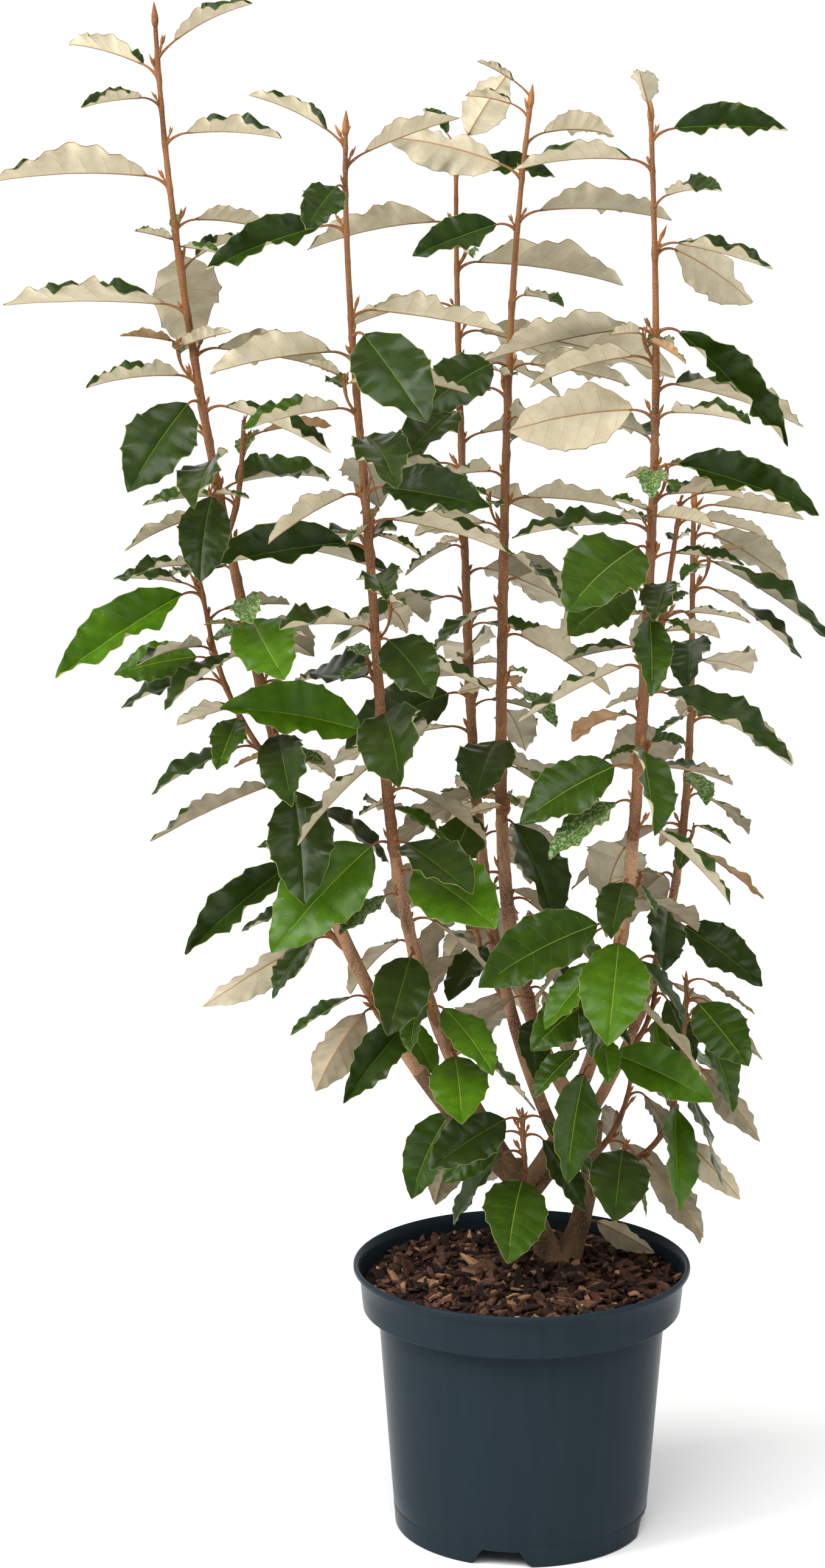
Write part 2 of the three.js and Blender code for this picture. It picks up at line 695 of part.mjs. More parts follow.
function makePot() {
  const insideCollar = COLLAR_FOOT_RADIUS - WALL;
  const lipFoot = POT_HEIGHT - LIP_HEIGHT;
  const channelOutside = BODY_FOOT_RADIUS - WALL;
  const floorTop = DRAIN_CHANNEL_HEIGHT + WALL;
  const shell = turned([
    [0, 0],
    [FLOOR_BOSS_RADIUS, 0],
    [FLOOR_BOSS_RADIUS + STEP_SLOPE, DRAIN_CHANNEL_HEIGHT],
    [channelOutside - STEP_SLOPE, DRAIN_CHANNEL_HEIGHT],
    [channelOutside, 0],
    [BODY_FOOT_RADIUS, 0],
    [BODY_TOP_RADIUS, COLLAR_FOOT_HEIGHT - STEP_SLOPE],
    [COLLAR_FOOT_RADIUS, COLLAR_FOOT_HEIGHT],
    [COLLAR_TOP_RADIUS, lipFoot],
    [LIP_RADIUS, lipFoot + LIP_ROUNDING / 2],
    [LIP_RADIUS, POT_HEIGHT - LIP_ROUNDING],
    [LIP_RADIUS - LIP_ROUNDING, POT_HEIGHT],
    [COLLAR_TOP_RADIUS, POT_HEIGHT],
    [COLLAR_TOP_RADIUS - WALL, POT_HEIGHT - WALL],
    [insideCollar, COLLAR_FOOT_HEIGHT + WALL],
    [BODY_TOP_RADIUS - WALL, COLLAR_FOOT_HEIGHT - STEP_SLOPE + WALL],
    [channelOutside, floorTop],
    [FLOOR_BOSS_RADIUS + STEP_SLOPE - WALL, floorTop],
    [FLOOR_BOSS_RADIUS - WALL, WALL],
    [0, WALL],
  ]);
  const below = -WALL;
  const outline = new THREE.Shape([
    new THREE.Vector2(-NOTCH_FOOT_WIDTH / 2, below),
    new THREE.Vector2(NOTCH_FOOT_WIDTH / 2, below),
    new THREE.Vector2(NOTCH_TOP_WIDTH / 2, DRAIN_CHANNEL_HEIGHT),
    new THREE.Vector2(-NOTCH_TOP_WIDTH / 2, DRAIN_CHANNEL_HEIGHT),
  ]);
  const cutters = Array.from({ length: NOTCH_COUNT }, (_, i) => {
    const geometry = new THREE.ExtrudeGeometry(outline, { depth: NOTCH_DEPTH, bevelEnabled: false });
    geometry.rotateX(Math.PI / 2).rotateZ(Math.PI / 2);
    geometry.translate(BODY_FOOT_RADIUS - NOTCH_DEPTH_INSIDE, 0, 0);
    return solidOf(geometry.rotateZ(radians(NOTCH_TURN + (360 * i) / NOTCH_COUNT)));
  });
  return clearOf(shell, cutters);
}

function makeSoil() {
  const inset = WALL + SEAT_GAP;
  const floorTop = DRAIN_CHANNEL_HEIGHT + inset;
  const edgeShare = (SOIL_EDGE_HEIGHT - COLLAR_FOOT_HEIGHT) / (POT_HEIGHT - COLLAR_FOOT_HEIGHT);
  return turned([
    [0, inset],
    [FLOOR_BOSS_RADIUS - inset, inset],
    [FLOOR_BOSS_RADIUS + STEP_SLOPE - inset, floorTop],
    [BODY_FOOT_RADIUS - inset, floorTop],
    [BODY_TOP_RADIUS - inset, COLLAR_FOOT_HEIGHT - STEP_SLOPE + inset],
    [COLLAR_FOOT_RADIUS - inset, COLLAR_FOOT_HEIGHT + inset],
    [mix(COLLAR_FOOT_RADIUS, COLLAR_TOP_RADIUS, edgeShare) - 2 * inset, SOIL_EDGE_HEIGHT],
    [SOIL_HEAP_RADIUS, SOIL_HEIGHT],
    [0, SOIL_HEIGHT],
  ]);
}

function makePlant() {
  const limbs = TRUNK_LIMBS.map((values) => new Stem({ ...values, flare: ROOT_FLARE }));
  const canes = CANES.map((values) => new Stem(values));
  const byName = new Map([...limbs, ...canes].map((stem) => [stem.name, stem]));
  const shootOn = (values, leafGap) => {
    const parent = byName.get(values.on);
    const foot = parent.centre(values.at - parent.foot[2]).toArray();
    const most = values.leaves.length;
    return new Stem({ foot, leafGap, most, sway: SHOOT_SWAY, firstLeaf: SHOOT_FIRST_LEAF, ...values });
  };
  const sideShoots = SIDE_SHOOTS.map((values) => shootOn(values, SIDE_LEAF_GAP));
  const lowShoots = LOW_SHOOTS.map((values) => shootOn(values, LOW_LEAF_GAP));
  const stems = [...canes, ...sideShoots, ...lowShoots];
  const crown = new Crown([...stems, ...limbs]);
  const leaves = new Map(stems.map((stem) => [stem.name, []]));
  for (const values of BROAD_LEAVES) {
    const stem = stems.find(({ name }) => name === values.on);
    leaves.get(stem.name).push(crown.place(stem, values));
  }
  stems.forEach((stem, i) => leaves.get(stem.name).push(...crown.grow(stem, FIRST_SEED + SEED_STEP * i)));
  const leafSolids = (stem) => leaves.get(stem.name).flatMap((leaf) => (leaf ? [leaf.solid()] : []));

  const meshes = [meshOf("trunk", joined(limbs.map((limb) => limb.solid(TRUNK_SIDES))), BARK)];
  const taken = limbs.map((limb) => limb.solid(TRUNK_SIDES, 0, limb.rise, SEAT_GAP));
  for (const cane of canes) {
    const end = cane.bare - cane.foot[2];
    meshes.push(meshOf(cane.name + "_bough", clearOf(cane.solid(BOUGH_SIDES, 0, end), taken), BARK));
    taken.push(cane.solid(BOUGH_SIDES, 0, end, SEAT_GAP));
  }
  for (const cane of canes) {
    const start = cane.bare - cane.foot[2] + SEAT_GAP;
    const own = sideShoots.filter((shoot) => shoot.on === cane.name);
    const twigs = own.map((shoot) => shoot.solid(TWIG_SIDES));
    const parts = [cane.solid(TWIG_SIDES, start), ...twigs, ...[cane, ...own].flatMap(leafSolids)];
    meshes.push(meshOf(cane.name + "_foliage", joined(parts), FOLIAGE));
  }
  for (const shoot of lowShoots) {
    const mass = joined([shoot.solid(TWIG_SIDES), ...leafSolids(shoot)]);
    meshes.push(meshOf(shoot.name + "_foliage", clearOf(mass, taken), FOLIAGE));
  }
  return meshes;
}

const plant = new THREE.Group();
plant.add(meshOf("pot", makePot(), POT_PLASTIC));
plant.add(meshOf("soil", makeSoil(), MULCH));
plant.add(...makePlant());

export default plant;
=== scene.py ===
"""A potted silverberry: six leafy canes on a forked trunk, in a round nursery pot filled with bark mulch."""

import logging
import math
from dataclasses import dataclass, field, replace
from enum import Enum

import bpy
import numpy as np
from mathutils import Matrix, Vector


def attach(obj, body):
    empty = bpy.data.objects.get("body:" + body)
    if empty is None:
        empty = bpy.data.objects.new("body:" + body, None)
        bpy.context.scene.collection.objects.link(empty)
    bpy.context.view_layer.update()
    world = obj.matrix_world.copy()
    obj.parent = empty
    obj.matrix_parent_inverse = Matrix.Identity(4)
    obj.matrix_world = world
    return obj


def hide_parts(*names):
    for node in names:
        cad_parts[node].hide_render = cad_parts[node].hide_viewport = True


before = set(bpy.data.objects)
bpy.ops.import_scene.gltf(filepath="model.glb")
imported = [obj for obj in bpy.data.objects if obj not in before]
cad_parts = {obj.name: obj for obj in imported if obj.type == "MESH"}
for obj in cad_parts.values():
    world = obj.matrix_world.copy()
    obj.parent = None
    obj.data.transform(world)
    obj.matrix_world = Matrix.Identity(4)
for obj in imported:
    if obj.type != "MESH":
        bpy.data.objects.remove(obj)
log = logging.getLogger("silverberry")

# Short names for types: a range or a pair, a place or a direction, a colour, and what materials are made of.
Span = tuple[float, float]
Place = tuple[float, float, float]
Colour = tuple[float, float, float, float]
Array = np.ndarray
Socket = bpy.types.NodeSocket
Tree = bpy.types.NodeTree

# Lengths below are in millimetres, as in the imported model. Meshes are made in metres.
MM = 0.001
UP = np.array([0.0, 0.0, 1.0])

# The picture: the camera was solved from the ellipses of the pot's lip and base.
PICTURE_SIZE = (1356, 2576)
FOCAL_PIXELS = 6360.0
CAMERA_PLACE = (-74.5, -2522.0, 1039.0)
CAMERA_PITCH = 11.66
SENSOR_WIDTH = 36.0

# Pot and soil, as packed.
POT_HEIGHT = 186.0
LIP_RADIUS = 115.0
LIP_HEIGHT = 4.5
COLLAR_TOP_RADIUS = 111.0
COLLAR_FOOT_RADIUS = 108.5
COLLAR_FOOT_HEIGHT = 155.0
BODY_TOP_RADIUS = 98.0
BODY_FOOT_RADIUS = 86.4
WALL = 2.0
STEP_SLOPE = 2.0
FLOOR_BOSS_RADIUS = 58.0
DRAIN_CHANNEL_HEIGHT = 9.0
NOTCH_FOOT_WIDTH = 39.0
NOTCH_TOP_WIDTH = 27.0
NOTCH_COUNT = 4
NOTCH_TURN = -100.4
SOIL_HEIGHT = 176.0
SOIL_EDGE_HEIGHT = 172.5
SOIL_HEAP_RADIUS = 72.0
SEAT_GAP = 0.3

# A turned profile starts and ends just off the axis, at this radius.
ON_AXIS = 0.01

# The plant's growth rule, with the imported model's values.
PLANT_TOP = 1028.0
CROWN_AXIS = (-20.0, 10.0)
ROOT_FLARE = 5.0
FLARE_HEIGHT = 9.0
SWAY_DEPTH = 0.3
DIRECTION_STEP = 360 / 16
SHOOT_RADII = (2.2, 1.4)
SHOOT_KNEE = 24.0
SHOOT_SWAY = (1.0, 120.0, 1.0)
SHOOT_FIRST_LEAF = 3.0
SIDE_LEAF_GAP = 22.0
LOW_LEAF_GAP = 14.0

# Leaves. A pair of numbers is the range that a seeded dice picks from.
LEAF_LENGTH = (62.0, 98.0)
FULL_LEAF = 84.0
HALF_WIDTH_SHARE = (0.215, 0.25)
LEAF_STALK = 15.0
STALK_RISE = 50.0
STALK_HALF_WIDTH = 1.3
BLADE_SKEW = 0.85
BLADE_FULLNESS = 0.8
LEAF_TURN = (-14.0, 14.0)
LEAF_TILT = (-12.0, 12.0)
LEAF_SAG = (8.0, 26.0)
LEAF_CREASE = (-8.0, 8.0)
LEAF_TWIST = (-22.0, 22.0)
TOP_PITCH = 3.0
FOOT_PITCH = -60.0
PITCH_EXPONENT = 2.0
TIP_RISE = 32.0
TIP_RISE_FADE = 1.4
FOOT_FOLD = 6.0
TOP_FOLD = 46.0
FOLD_EXPONENT = 1.1
LEAST_FOLD = 3.0
FOOT_FACING = 55.0
FACING_EXPONENT = 2.0
TOP_FACING = 22.0
LIGHT_WAY = (0.0, 1.0)
FOOT_BREADTH = 1.12
TOP_BREADTH = 0.95
BROAD_HALF_WIDTH_SHARE = 0.305
CLOSING_FOLD = 150.0
BROAD_SAG = 14.0
BROAD_FOLD = 12.0
BROAD_FACE = (0.0, -0.8, 0.6)
SPIRAL_TURN = 144.0
FIRST_SEED = 1000
SEED_STEP = 37
TOP_LEAF_GAP = 27.0
CROWDED_LEAF_GAP = 18.0
CROWDED_BELOW = 830.0
TIP_LEAF_GAP = 13.0
LEAF_GAP_GROWTH = 5.0
TIP_LEAF_SIZE = 0.62
LEAF_SIZE_GROWTH = 0.13
YOUNG_LEAF_SIZE = 0.66
YOUNG_LEAF_EVERY = 3
MIDRIB_STEPS = 12
FOLD_STEPS = 10
PROBE_STATIONS = (0.1, 0.22, 0.34, 0.46, 0.58, 0.7, 0.82, 0.92)
PROBE_SIDES = (1.0, 0.5, 0.0, -0.5, -1.0)
LEAF_ROOM = 8.0
LIMB_ROOM = 4.0
LIMB_POINT_SPACING = 6.0
OWN_STALK_ROOM = LEAF_STALK + 2
SOIL_ROOM = 2.0
NUDGES = (0, 22, -22, 44, -44, 66, -66)
DIPS = (0, -14, 14)
RIM_ROOM_RADIUS = 122.0
RIM_ROOM_HEIGHT = 196.0
DICE_FACTOR = 48271
DICE_PRIME = 2**31 - 1

# How far a spur or a bud scale turns aside, in radians.
ASIDE = (-0.5, 0.5)

# The rings round limbs and buds are laid out from these directions, which none of them runs in.
LIMB_SIDE = np.array([0.0, 1.0, 0.0])
BUD_SIDE = np.array([0.3, 0.95, 0.0])


def mix(low: float, high: float, share: float) -> float:
    """The value at a share of the way from low to high."""
    return (1 - share) * low + share * high


def level_of(height: float) -> float:
    """How high something is on the plant, from 0 at the soil to 1 at its top."""
    return min(max((height - SOIL_HEIGHT) / (PLANT_TOP - SOIL_HEIGHT), 0), 1)


def unit(vectors: Array) -> Array:
    """The vectors, each brought to length one."""
    return vectors / np.maximum(np.linalg.norm(vectors, axis=-1, keepdims=True), 1e-9)


def heading(angle: float) -> Array:
    """The level direction at an angle in radians."""
    return np.array([math.cos(angle), math.sin(angle), 0.0])


def turns(count: int) -> Array:
    """Evenly spaced angles round a circle, in radians."""
    return np.arange(count) * 2 * np.pi / count


def circle(count: int) -> Array:
    """Evenly spaced points round the pot's axis, one unit from it."""
    return np.stack([np.cos(turns(count)), np.sin(turns(count)), np.zeros(count)], axis=-1)


def turn_about(axis: int, angle: float) -> Array:
    """The matrix that turns points about one of the three axes by an angle in radians."""
    first, second = (axis + 1) % 3, (axis + 2) % 3
    matrix = np.eye(3)
    matrix[first, first] = matrix[second, second] = math.cos(angle)
    matrix[second, first] = math.sin(angle)
    matrix[first, second] = -math.sin(angle)
    return matrix


class Dice:
    """A seeded dice that gives the same throws on every run."""

    def __init__(self, seed: int) -> None:
        """Starts the dice at a seed."""
        self.state = seed

    def roll(self, span: Span) -> float:
        """One throw within a span."""
        self.state = self.state * DICE_FACTOR % DICE_PRIME
        return mix(span[0], span[1], self.state / DICE_PRIME)

    def pick(self, options: tuple) -> object:
        """One of the options."""
        return options[min(int(self.roll((0, len(options)))), len(options) - 1)]


@dataclass(frozen=True)
class Stem:
    """A trunk limb, a cane or a shoot, as a curve that rises from its foot.

    Each hexadecimal digit of leaves is a leaf's direction in sixteenths of a turn, and each digit of sizes is
    its size in tenths of a full leaf, from the tip down.
    """

    name: str
    rise: float
    spread: Span
    foot: Place = (0.0, 0.0, 0.0)
    knee: float = SHOOT_KNEE
    lean: Span = (0.0, 0.0)
    sway: Place = (0.0, 1.0, 0.0)
    radii: Span = SHOOT_RADII
    flare: float = 0.0
    bare: float | None = None
    first_leaf: float = SHOOT_FIRST_LEAF
    leaves: str = ""
    sizes: str = ""
    leaf_gap: float | None = None
    most: int = 1000
    size: float = 1.0
    stalk: float = LEAF_STALK
    on: str = ""
    at: float = 0.0

    def centre(self, height: Array | float) -> Array:
        """The stem's centre at heights above its foot.

        Args:
            height: One height or an array of them.

        Returns:
            A point, or an array of points with the coordinates last.
        """
        height = np.asarray(height, float)
        turned = 1 - np.exp(-height / self.knee)
        amount, wavelength, phase = self.sway
        swayed = amount * (np.sin(2 * np.pi * height / wavelength + phase) - np.sin(phase))
        return np.stack(
            [
                self.foot[0] + self.spread[0] * turned + self.lean[0] * height + swayed,
                self.foot[1] + self.spread[1] * turned + self.lean[1] * height + SWAY_DEPTH * swayed,
                self.foot[2] + height,
            ],
            axis=-1,
        )

    def radius(self, height: Array | float) -> Array:
        """The stem's radius at heights above its foot."""
        height = np.asarray(height, float)
        share = np.clip(height / self.rise, 0, 1)
        return mix(*self.radii, share) + self.flare * np.exp(-height / FLARE_HEIGHT)


TRUNK_LIMBS = (
    Stem("left_limb", 74, (0, 0), (22, 30, SOIL_HEIGHT + SEAT_GAP), lean=(-0.36, -0.12), radii=(7.5, 5.4)),
    Stem("right_limb", 100, (22, -3), (31, 32, SOIL_HEIGHT + SEAT_GAP), knee=45, radii=(7.5, 5.6)),
)

CANES = (
    Stem(
        "left", 802, (-252, -60), (4, 24, 226), knee=260, lean=(0, -0.02), sway=(6, 800, 4.79),
        radii=(5.5, 1.3), bare=455, first_leaf=34, leaves="0790813809", sizes="6757b65c98",
    ),
    Stem(
        "left_front", 724, (-236, -80), (0, 22.6, 238), knee=330, lean=(0.134, -0.04), sway=(8.1, 650, 3.79),
        radii=(5.1, 1.3), bare=398, first_leaf=22, leaves="80a800819d", sizes="67000a97",
    ),
    Stem(
        "back", 711, (-177, 60), (45.5, 30.2, 222), knee=260, lean=(0.102, 0.02), sway=(7.7, 800, 4.59),
        radii=(4.8, 1.3), bare=385, first_leaf=2, leaves="6018080e", sizes="400ac78",
    ),
    Stem(
        "centre", 705, (-120, 12), (50.5, 29, 270), knee=120, lean=(0.11, 0.015), sway=(8.6, 800, 5.8),
        radii=(5.3, 1.3), bare=385, first_leaf=8, leaves="871804e017", sizes="3460a05c8",
    ),
    Stem(
        "right", 738, (97, -85), (2, 23.3, 232), knee=160, lean=(-0.031, -0.02), sway=(1.9, 500, 0.51),
        radii=(5.4, 1.3), bare=405, first_leaf=14, leaves="c08e00870f", sizes="508670b8c8",
    ),
    Stem(
        "right_back", 485, (180, 60), (5.5, 24.5, 222), knee=200, lean=(-0.065, 0.03), sway=(12, 800, 0.92),
        radii=(4.2, 1.4), bare=335, first_leaf=6, leaves="3010f",
    ),
)

SIDE_SHOOTS = (
    Stem("left_shoot", 146, (-72, -12), knee=90, size=0.85, leaves="c80a8d8", on="left", at=520),
    Stem("left_inner_shoot", 75, (16, -4), knee=40, size=0.6, leaves="c048", on="left", at=690),
    Stem("right_shoot", 115, (26, 6), knee=60, size=0.68, leaves="0f4c08f", on="right", at=600),
)

LOW_SHOOTS = (
    Stem("low_left_upper", 30, (-30, -6), leaves="8a5", on="left", at=404),
    Stem("low_left", 26, (-22, -22), leaves="9c8", on="left", at=350),
    Stem("low_left_front", 32, (-12, -26), leaves="bda0", on="left_front", at=352),
    Stem("low_front", 34, (-8, -36), leaves="bdca", on="left_front", at=320),
    Stem("low_right_front", 44, (8, -30), leaves="cbe0", on="right", at=368),
    Stem("low_middle_front", 40, (10, -36), leaves="dabf", on="right", at=320),
    Stem("low_back_left", 46, (-24, 20), leaves="6835", on="back", at=352),
    Stem("low_back", 46, (6, 36), leaves="4352", on="centre", at=362),
    Stem("low_middle", 30, (-6, -14), leaves="9c0", on="centre", at=335),
    Stem("low_right_back", 44, (30, 16), leaves="0e13", on="right_back", at=315),
    Stem("foot_left", 44, (-40, 20), leaves="9867", on="left_limb", at=238),
    Stem("foot_front", 72, (-4, -46), leaves="0e8c", on="left_limb", at=223),
    Stem("foot_right", 145, (64, -14), leaves="0fe10ed", on="right_limb", at=235),
    Stem("foot_right_front", 46, (30, -40), leaves="decf", on="right_limb", at=223),
    Stem("foot_right_back", 50, (34, 40), leaves="2140", on="right_limb", at=250),
)

# What the short spurs share.
SPUR = Stem("spur", 0, (0, 0), knee=7, radii=(1.0, 0.7), first_leaf=1, leaf_gap=4, most=3, stalk=4)


@dataclass(frozen=True)
class BroadLeaf:
    """A leaf that shows its face, at a height above the ground. Its way and slope are in degrees."""

    on: str
    at: float
    way: float
    slope: float
    length: float
    fold: float = BROAD_FOLD
    face: int = 1
    stalk: float = LEAF_STALK


BROAD_LEAVES = (
    BroadLeaf("left", 868, 85, -45, 76, face=-1),
    BroadLeaf("left", 774, 236, -32, 78),
    BroadLeaf("left", 716, 255, -45, 62),
    BroadLeaf("left", 631, 285, -15, 80),
    BroadLeaf("left", 521, 285, -50, 82),
    BroadLeaf("left", 465, 190, -35, 95, fold=50),
    BroadLeaf("left_shoot", 648, 205, -25, 100, fold=42),
    BroadLeaf("left_shoot", 603, 185, -5, 56),
    BroadLeaf("left_front", 912, 248, -20, 50, fold=20),
    BroadLeaf("left_front", 886, 192, -12, 75, fold=48),
    BroadLeaf("left_front", 820, 300, -28, 84),
    BroadLeaf("left_front", 718, 320, 0, 85, fold=36),
    BroadLeaf("left_front", 681, 180, -5, 95, fold=46),
    BroadLeaf("left_front", 620, 300, -15, 70),
    BroadLeaf("left_front", 552, 195, 20, 100, fold=34),
    BroadLeaf("left_front", 482, 210, -20, 102),
    BroadLeaf("left_front", 461, 308, -5, 98),
    BroadLeaf("left_front", 404, 258, -26, 74),
    BroadLeaf("centre", 914, 175, 22, 76, fold=40, face=-1),
    BroadLeaf("centre", 880, 203, -14, 58, fold=30),
    BroadLeaf("centre", 789, 220, -15, 66),
    BroadLeaf("back", 928, 35, 55, 50, face=-1),
    BroadLeaf("back", 914, 5, 0, 50, fold=44),
    BroadLeaf("back", 560, 200, -15, 85),
    BroadLeaf("right", 944, 358, 6, 66, fold=44),
    BroadLeaf("right", 872, 30, -22, 66, face=-1),
    BroadLeaf("right", 823, 355, -40, 96, fold=58),
    BroadLeaf("right", 735, 345, -10, 95, fold=52),
    BroadLeaf("right", 768, 158, -4, 84, fold=16, face=-1),
    BroadLeaf("right", 683, 235, -10, 95),
    BroadLeaf("right", 655, 225, -10, 68),
    BroadLeaf("right", 538, 195, -20, 75),
    BroadLeaf("right", 428, 195, -15, 95, fold=24),
    BroadLeaf("right", 420, 263, -30, 89),
    BroadLeaf("right_back", 403, 320, -20, 75, fold=30),
    BroadLeaf("low_left_upper", 412, 190, -25, 92, fold=50, face=-1),
    BroadLeaf("low_left", 364, 235, -25, 76, fold=34, face=-1),
    BroadLeaf("low_left_front", 364, 200, -30, 85, fold=42),
    BroadLeaf("low_front", 334, 275, -15, 76),
    BroadLeaf("low_right_front", 380, 215, -20, 62),
    BroadLeaf("low_middle_front", 338, 330, -10, 82, fold=30),
    BroadLeaf("foot_left", 281, 190, -55, 70, fold=22),
    BroadLeaf("foot_front", 290, 215, -15, 70),
    BroadLeaf("foot_front", 280, 190, -30, 55),
    BroadLeaf("foot_front", 245, 258, -18, 85),
    BroadLeaf("foot_right", 363, 300, -22, 68),
    BroadLeaf("foot_right", 318, 350, -45, 68, fold=46, face=-1),
    BroadLeaf("foot_right", 270, 320, -30, 65, fold=44, face=-1),
    BroadLeaf("foot_right", 250, 315, -35, 68, fold=46, face=-1),
    BroadLeaf("foot_right_front", 266, 262, -15, 80),
)

# One old leaf droops from the trunk into the pot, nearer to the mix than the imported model's leaves keep.
DROOPING_LEAF = BroadLeaf("right_limb", 201, 4, -26, 50, fold=38, face=-1, stalk=7)


@dataclass(frozen=True)
class Leaf:
    """Where one leaf grows: its blade starts at a slope and sags, and its halves fold up from the midrib."""

    root: Array
    aim: float
    length: float
    width: float
    stem_radius: float
    pitch: float
    sag: float
    fold: float
    roll: float
    height: float = 0.0
    level: float = 0.0
    young: bool = False
    broad: bool = False
    petiole: float = LEAF_STALK

    @property
    def out(self) -> Array:
        """The level direction in which the leaf leaves its stem."""
        return heading(self.aim)

    @property
    def stalk(self) -> float:
        """Length from the stem's centre to the blade."""
        return self.petiole + self.stem_radius

    def slope(self, distance: Array) -> Array:
        """Slope of the midrib at distances from the stem's centre."""
        on_stalk = mix(math.radians(STALK_RISE), self.pitch, distance / self.stalk)
        on_blade = self.pitch - self.sag * (distance - self.stalk) / self.length
        return np.where(distance < self.stalk, on_stalk, on_blade)

    def midrib(self, reach: Array, twist: Array | float = 0.0) -> tuple[Array, ...]:
        """The midrib at distances from the stem's centre.

        Args:
            reach: Distances along the midrib.
            twist: What the blade is turned by there, on top of the leaf's roll.

        Returns:
            Points, and the directions along, across and out of the blade there.
        """
        reach = np.asarray(reach, float)
        middles = (np.arange(MIDRIB_STEPS) + 0.5) / MIDRIB_STEPS
        slopes = self.slope(reach[..., None] * middles)
        step = (reach / MIDRIB_STEPS)[..., None]
        level = np.cos(slopes).sum(-1)[..., None] * step
        raised = np.sin(slopes).sum(-1)[..., None] * step
        point = self.root + self.out * level + UP * raised
        slope = self.slope(reach)[..., None]
        along = self.out * np.cos(slope) + UP * np.sin(slope)
        flat = np.cross(UP, self.out)
        roll = (self.roll + np.zeros_like(reach) + twist)[..., None]
        across = flat * np.cos(roll) + np.cross(along, flat) * np.sin(roll)
        return point, along, across, np.cross(along, across)

    def half_width(self, share: Array) -> Array:
        """Half the blade's width at shares of its length."""
        bulge = np.maximum(np.sin(np.pi * share**BLADE_SKEW), 0)
        return self.width * bulge**BLADE_FULLNESS

    def probes(self) -> Array:
        """Points spread over the blade, to measure how close it comes to other things."""
        shares = np.repeat(PROBE_STATIONS, len(PROBE_SIDES))
        sides = np.tile(PROBE_SIDES, len(PROBE_STATIONS))
        point, _, across, normal = self.midrib(self.stalk + shares * self.length)
        width = (np.maximum(self.half_width(shares), STALK_HALF_WIDTH) * sides)[:, None]
        spread = point + across * width * math.cos(self.fold) + normal * abs(width) * math.sin(self.fold)
        tip = self.midrib(np.array([self.stalk + self.length]))[0]
        return np.vstack([spread, tip])


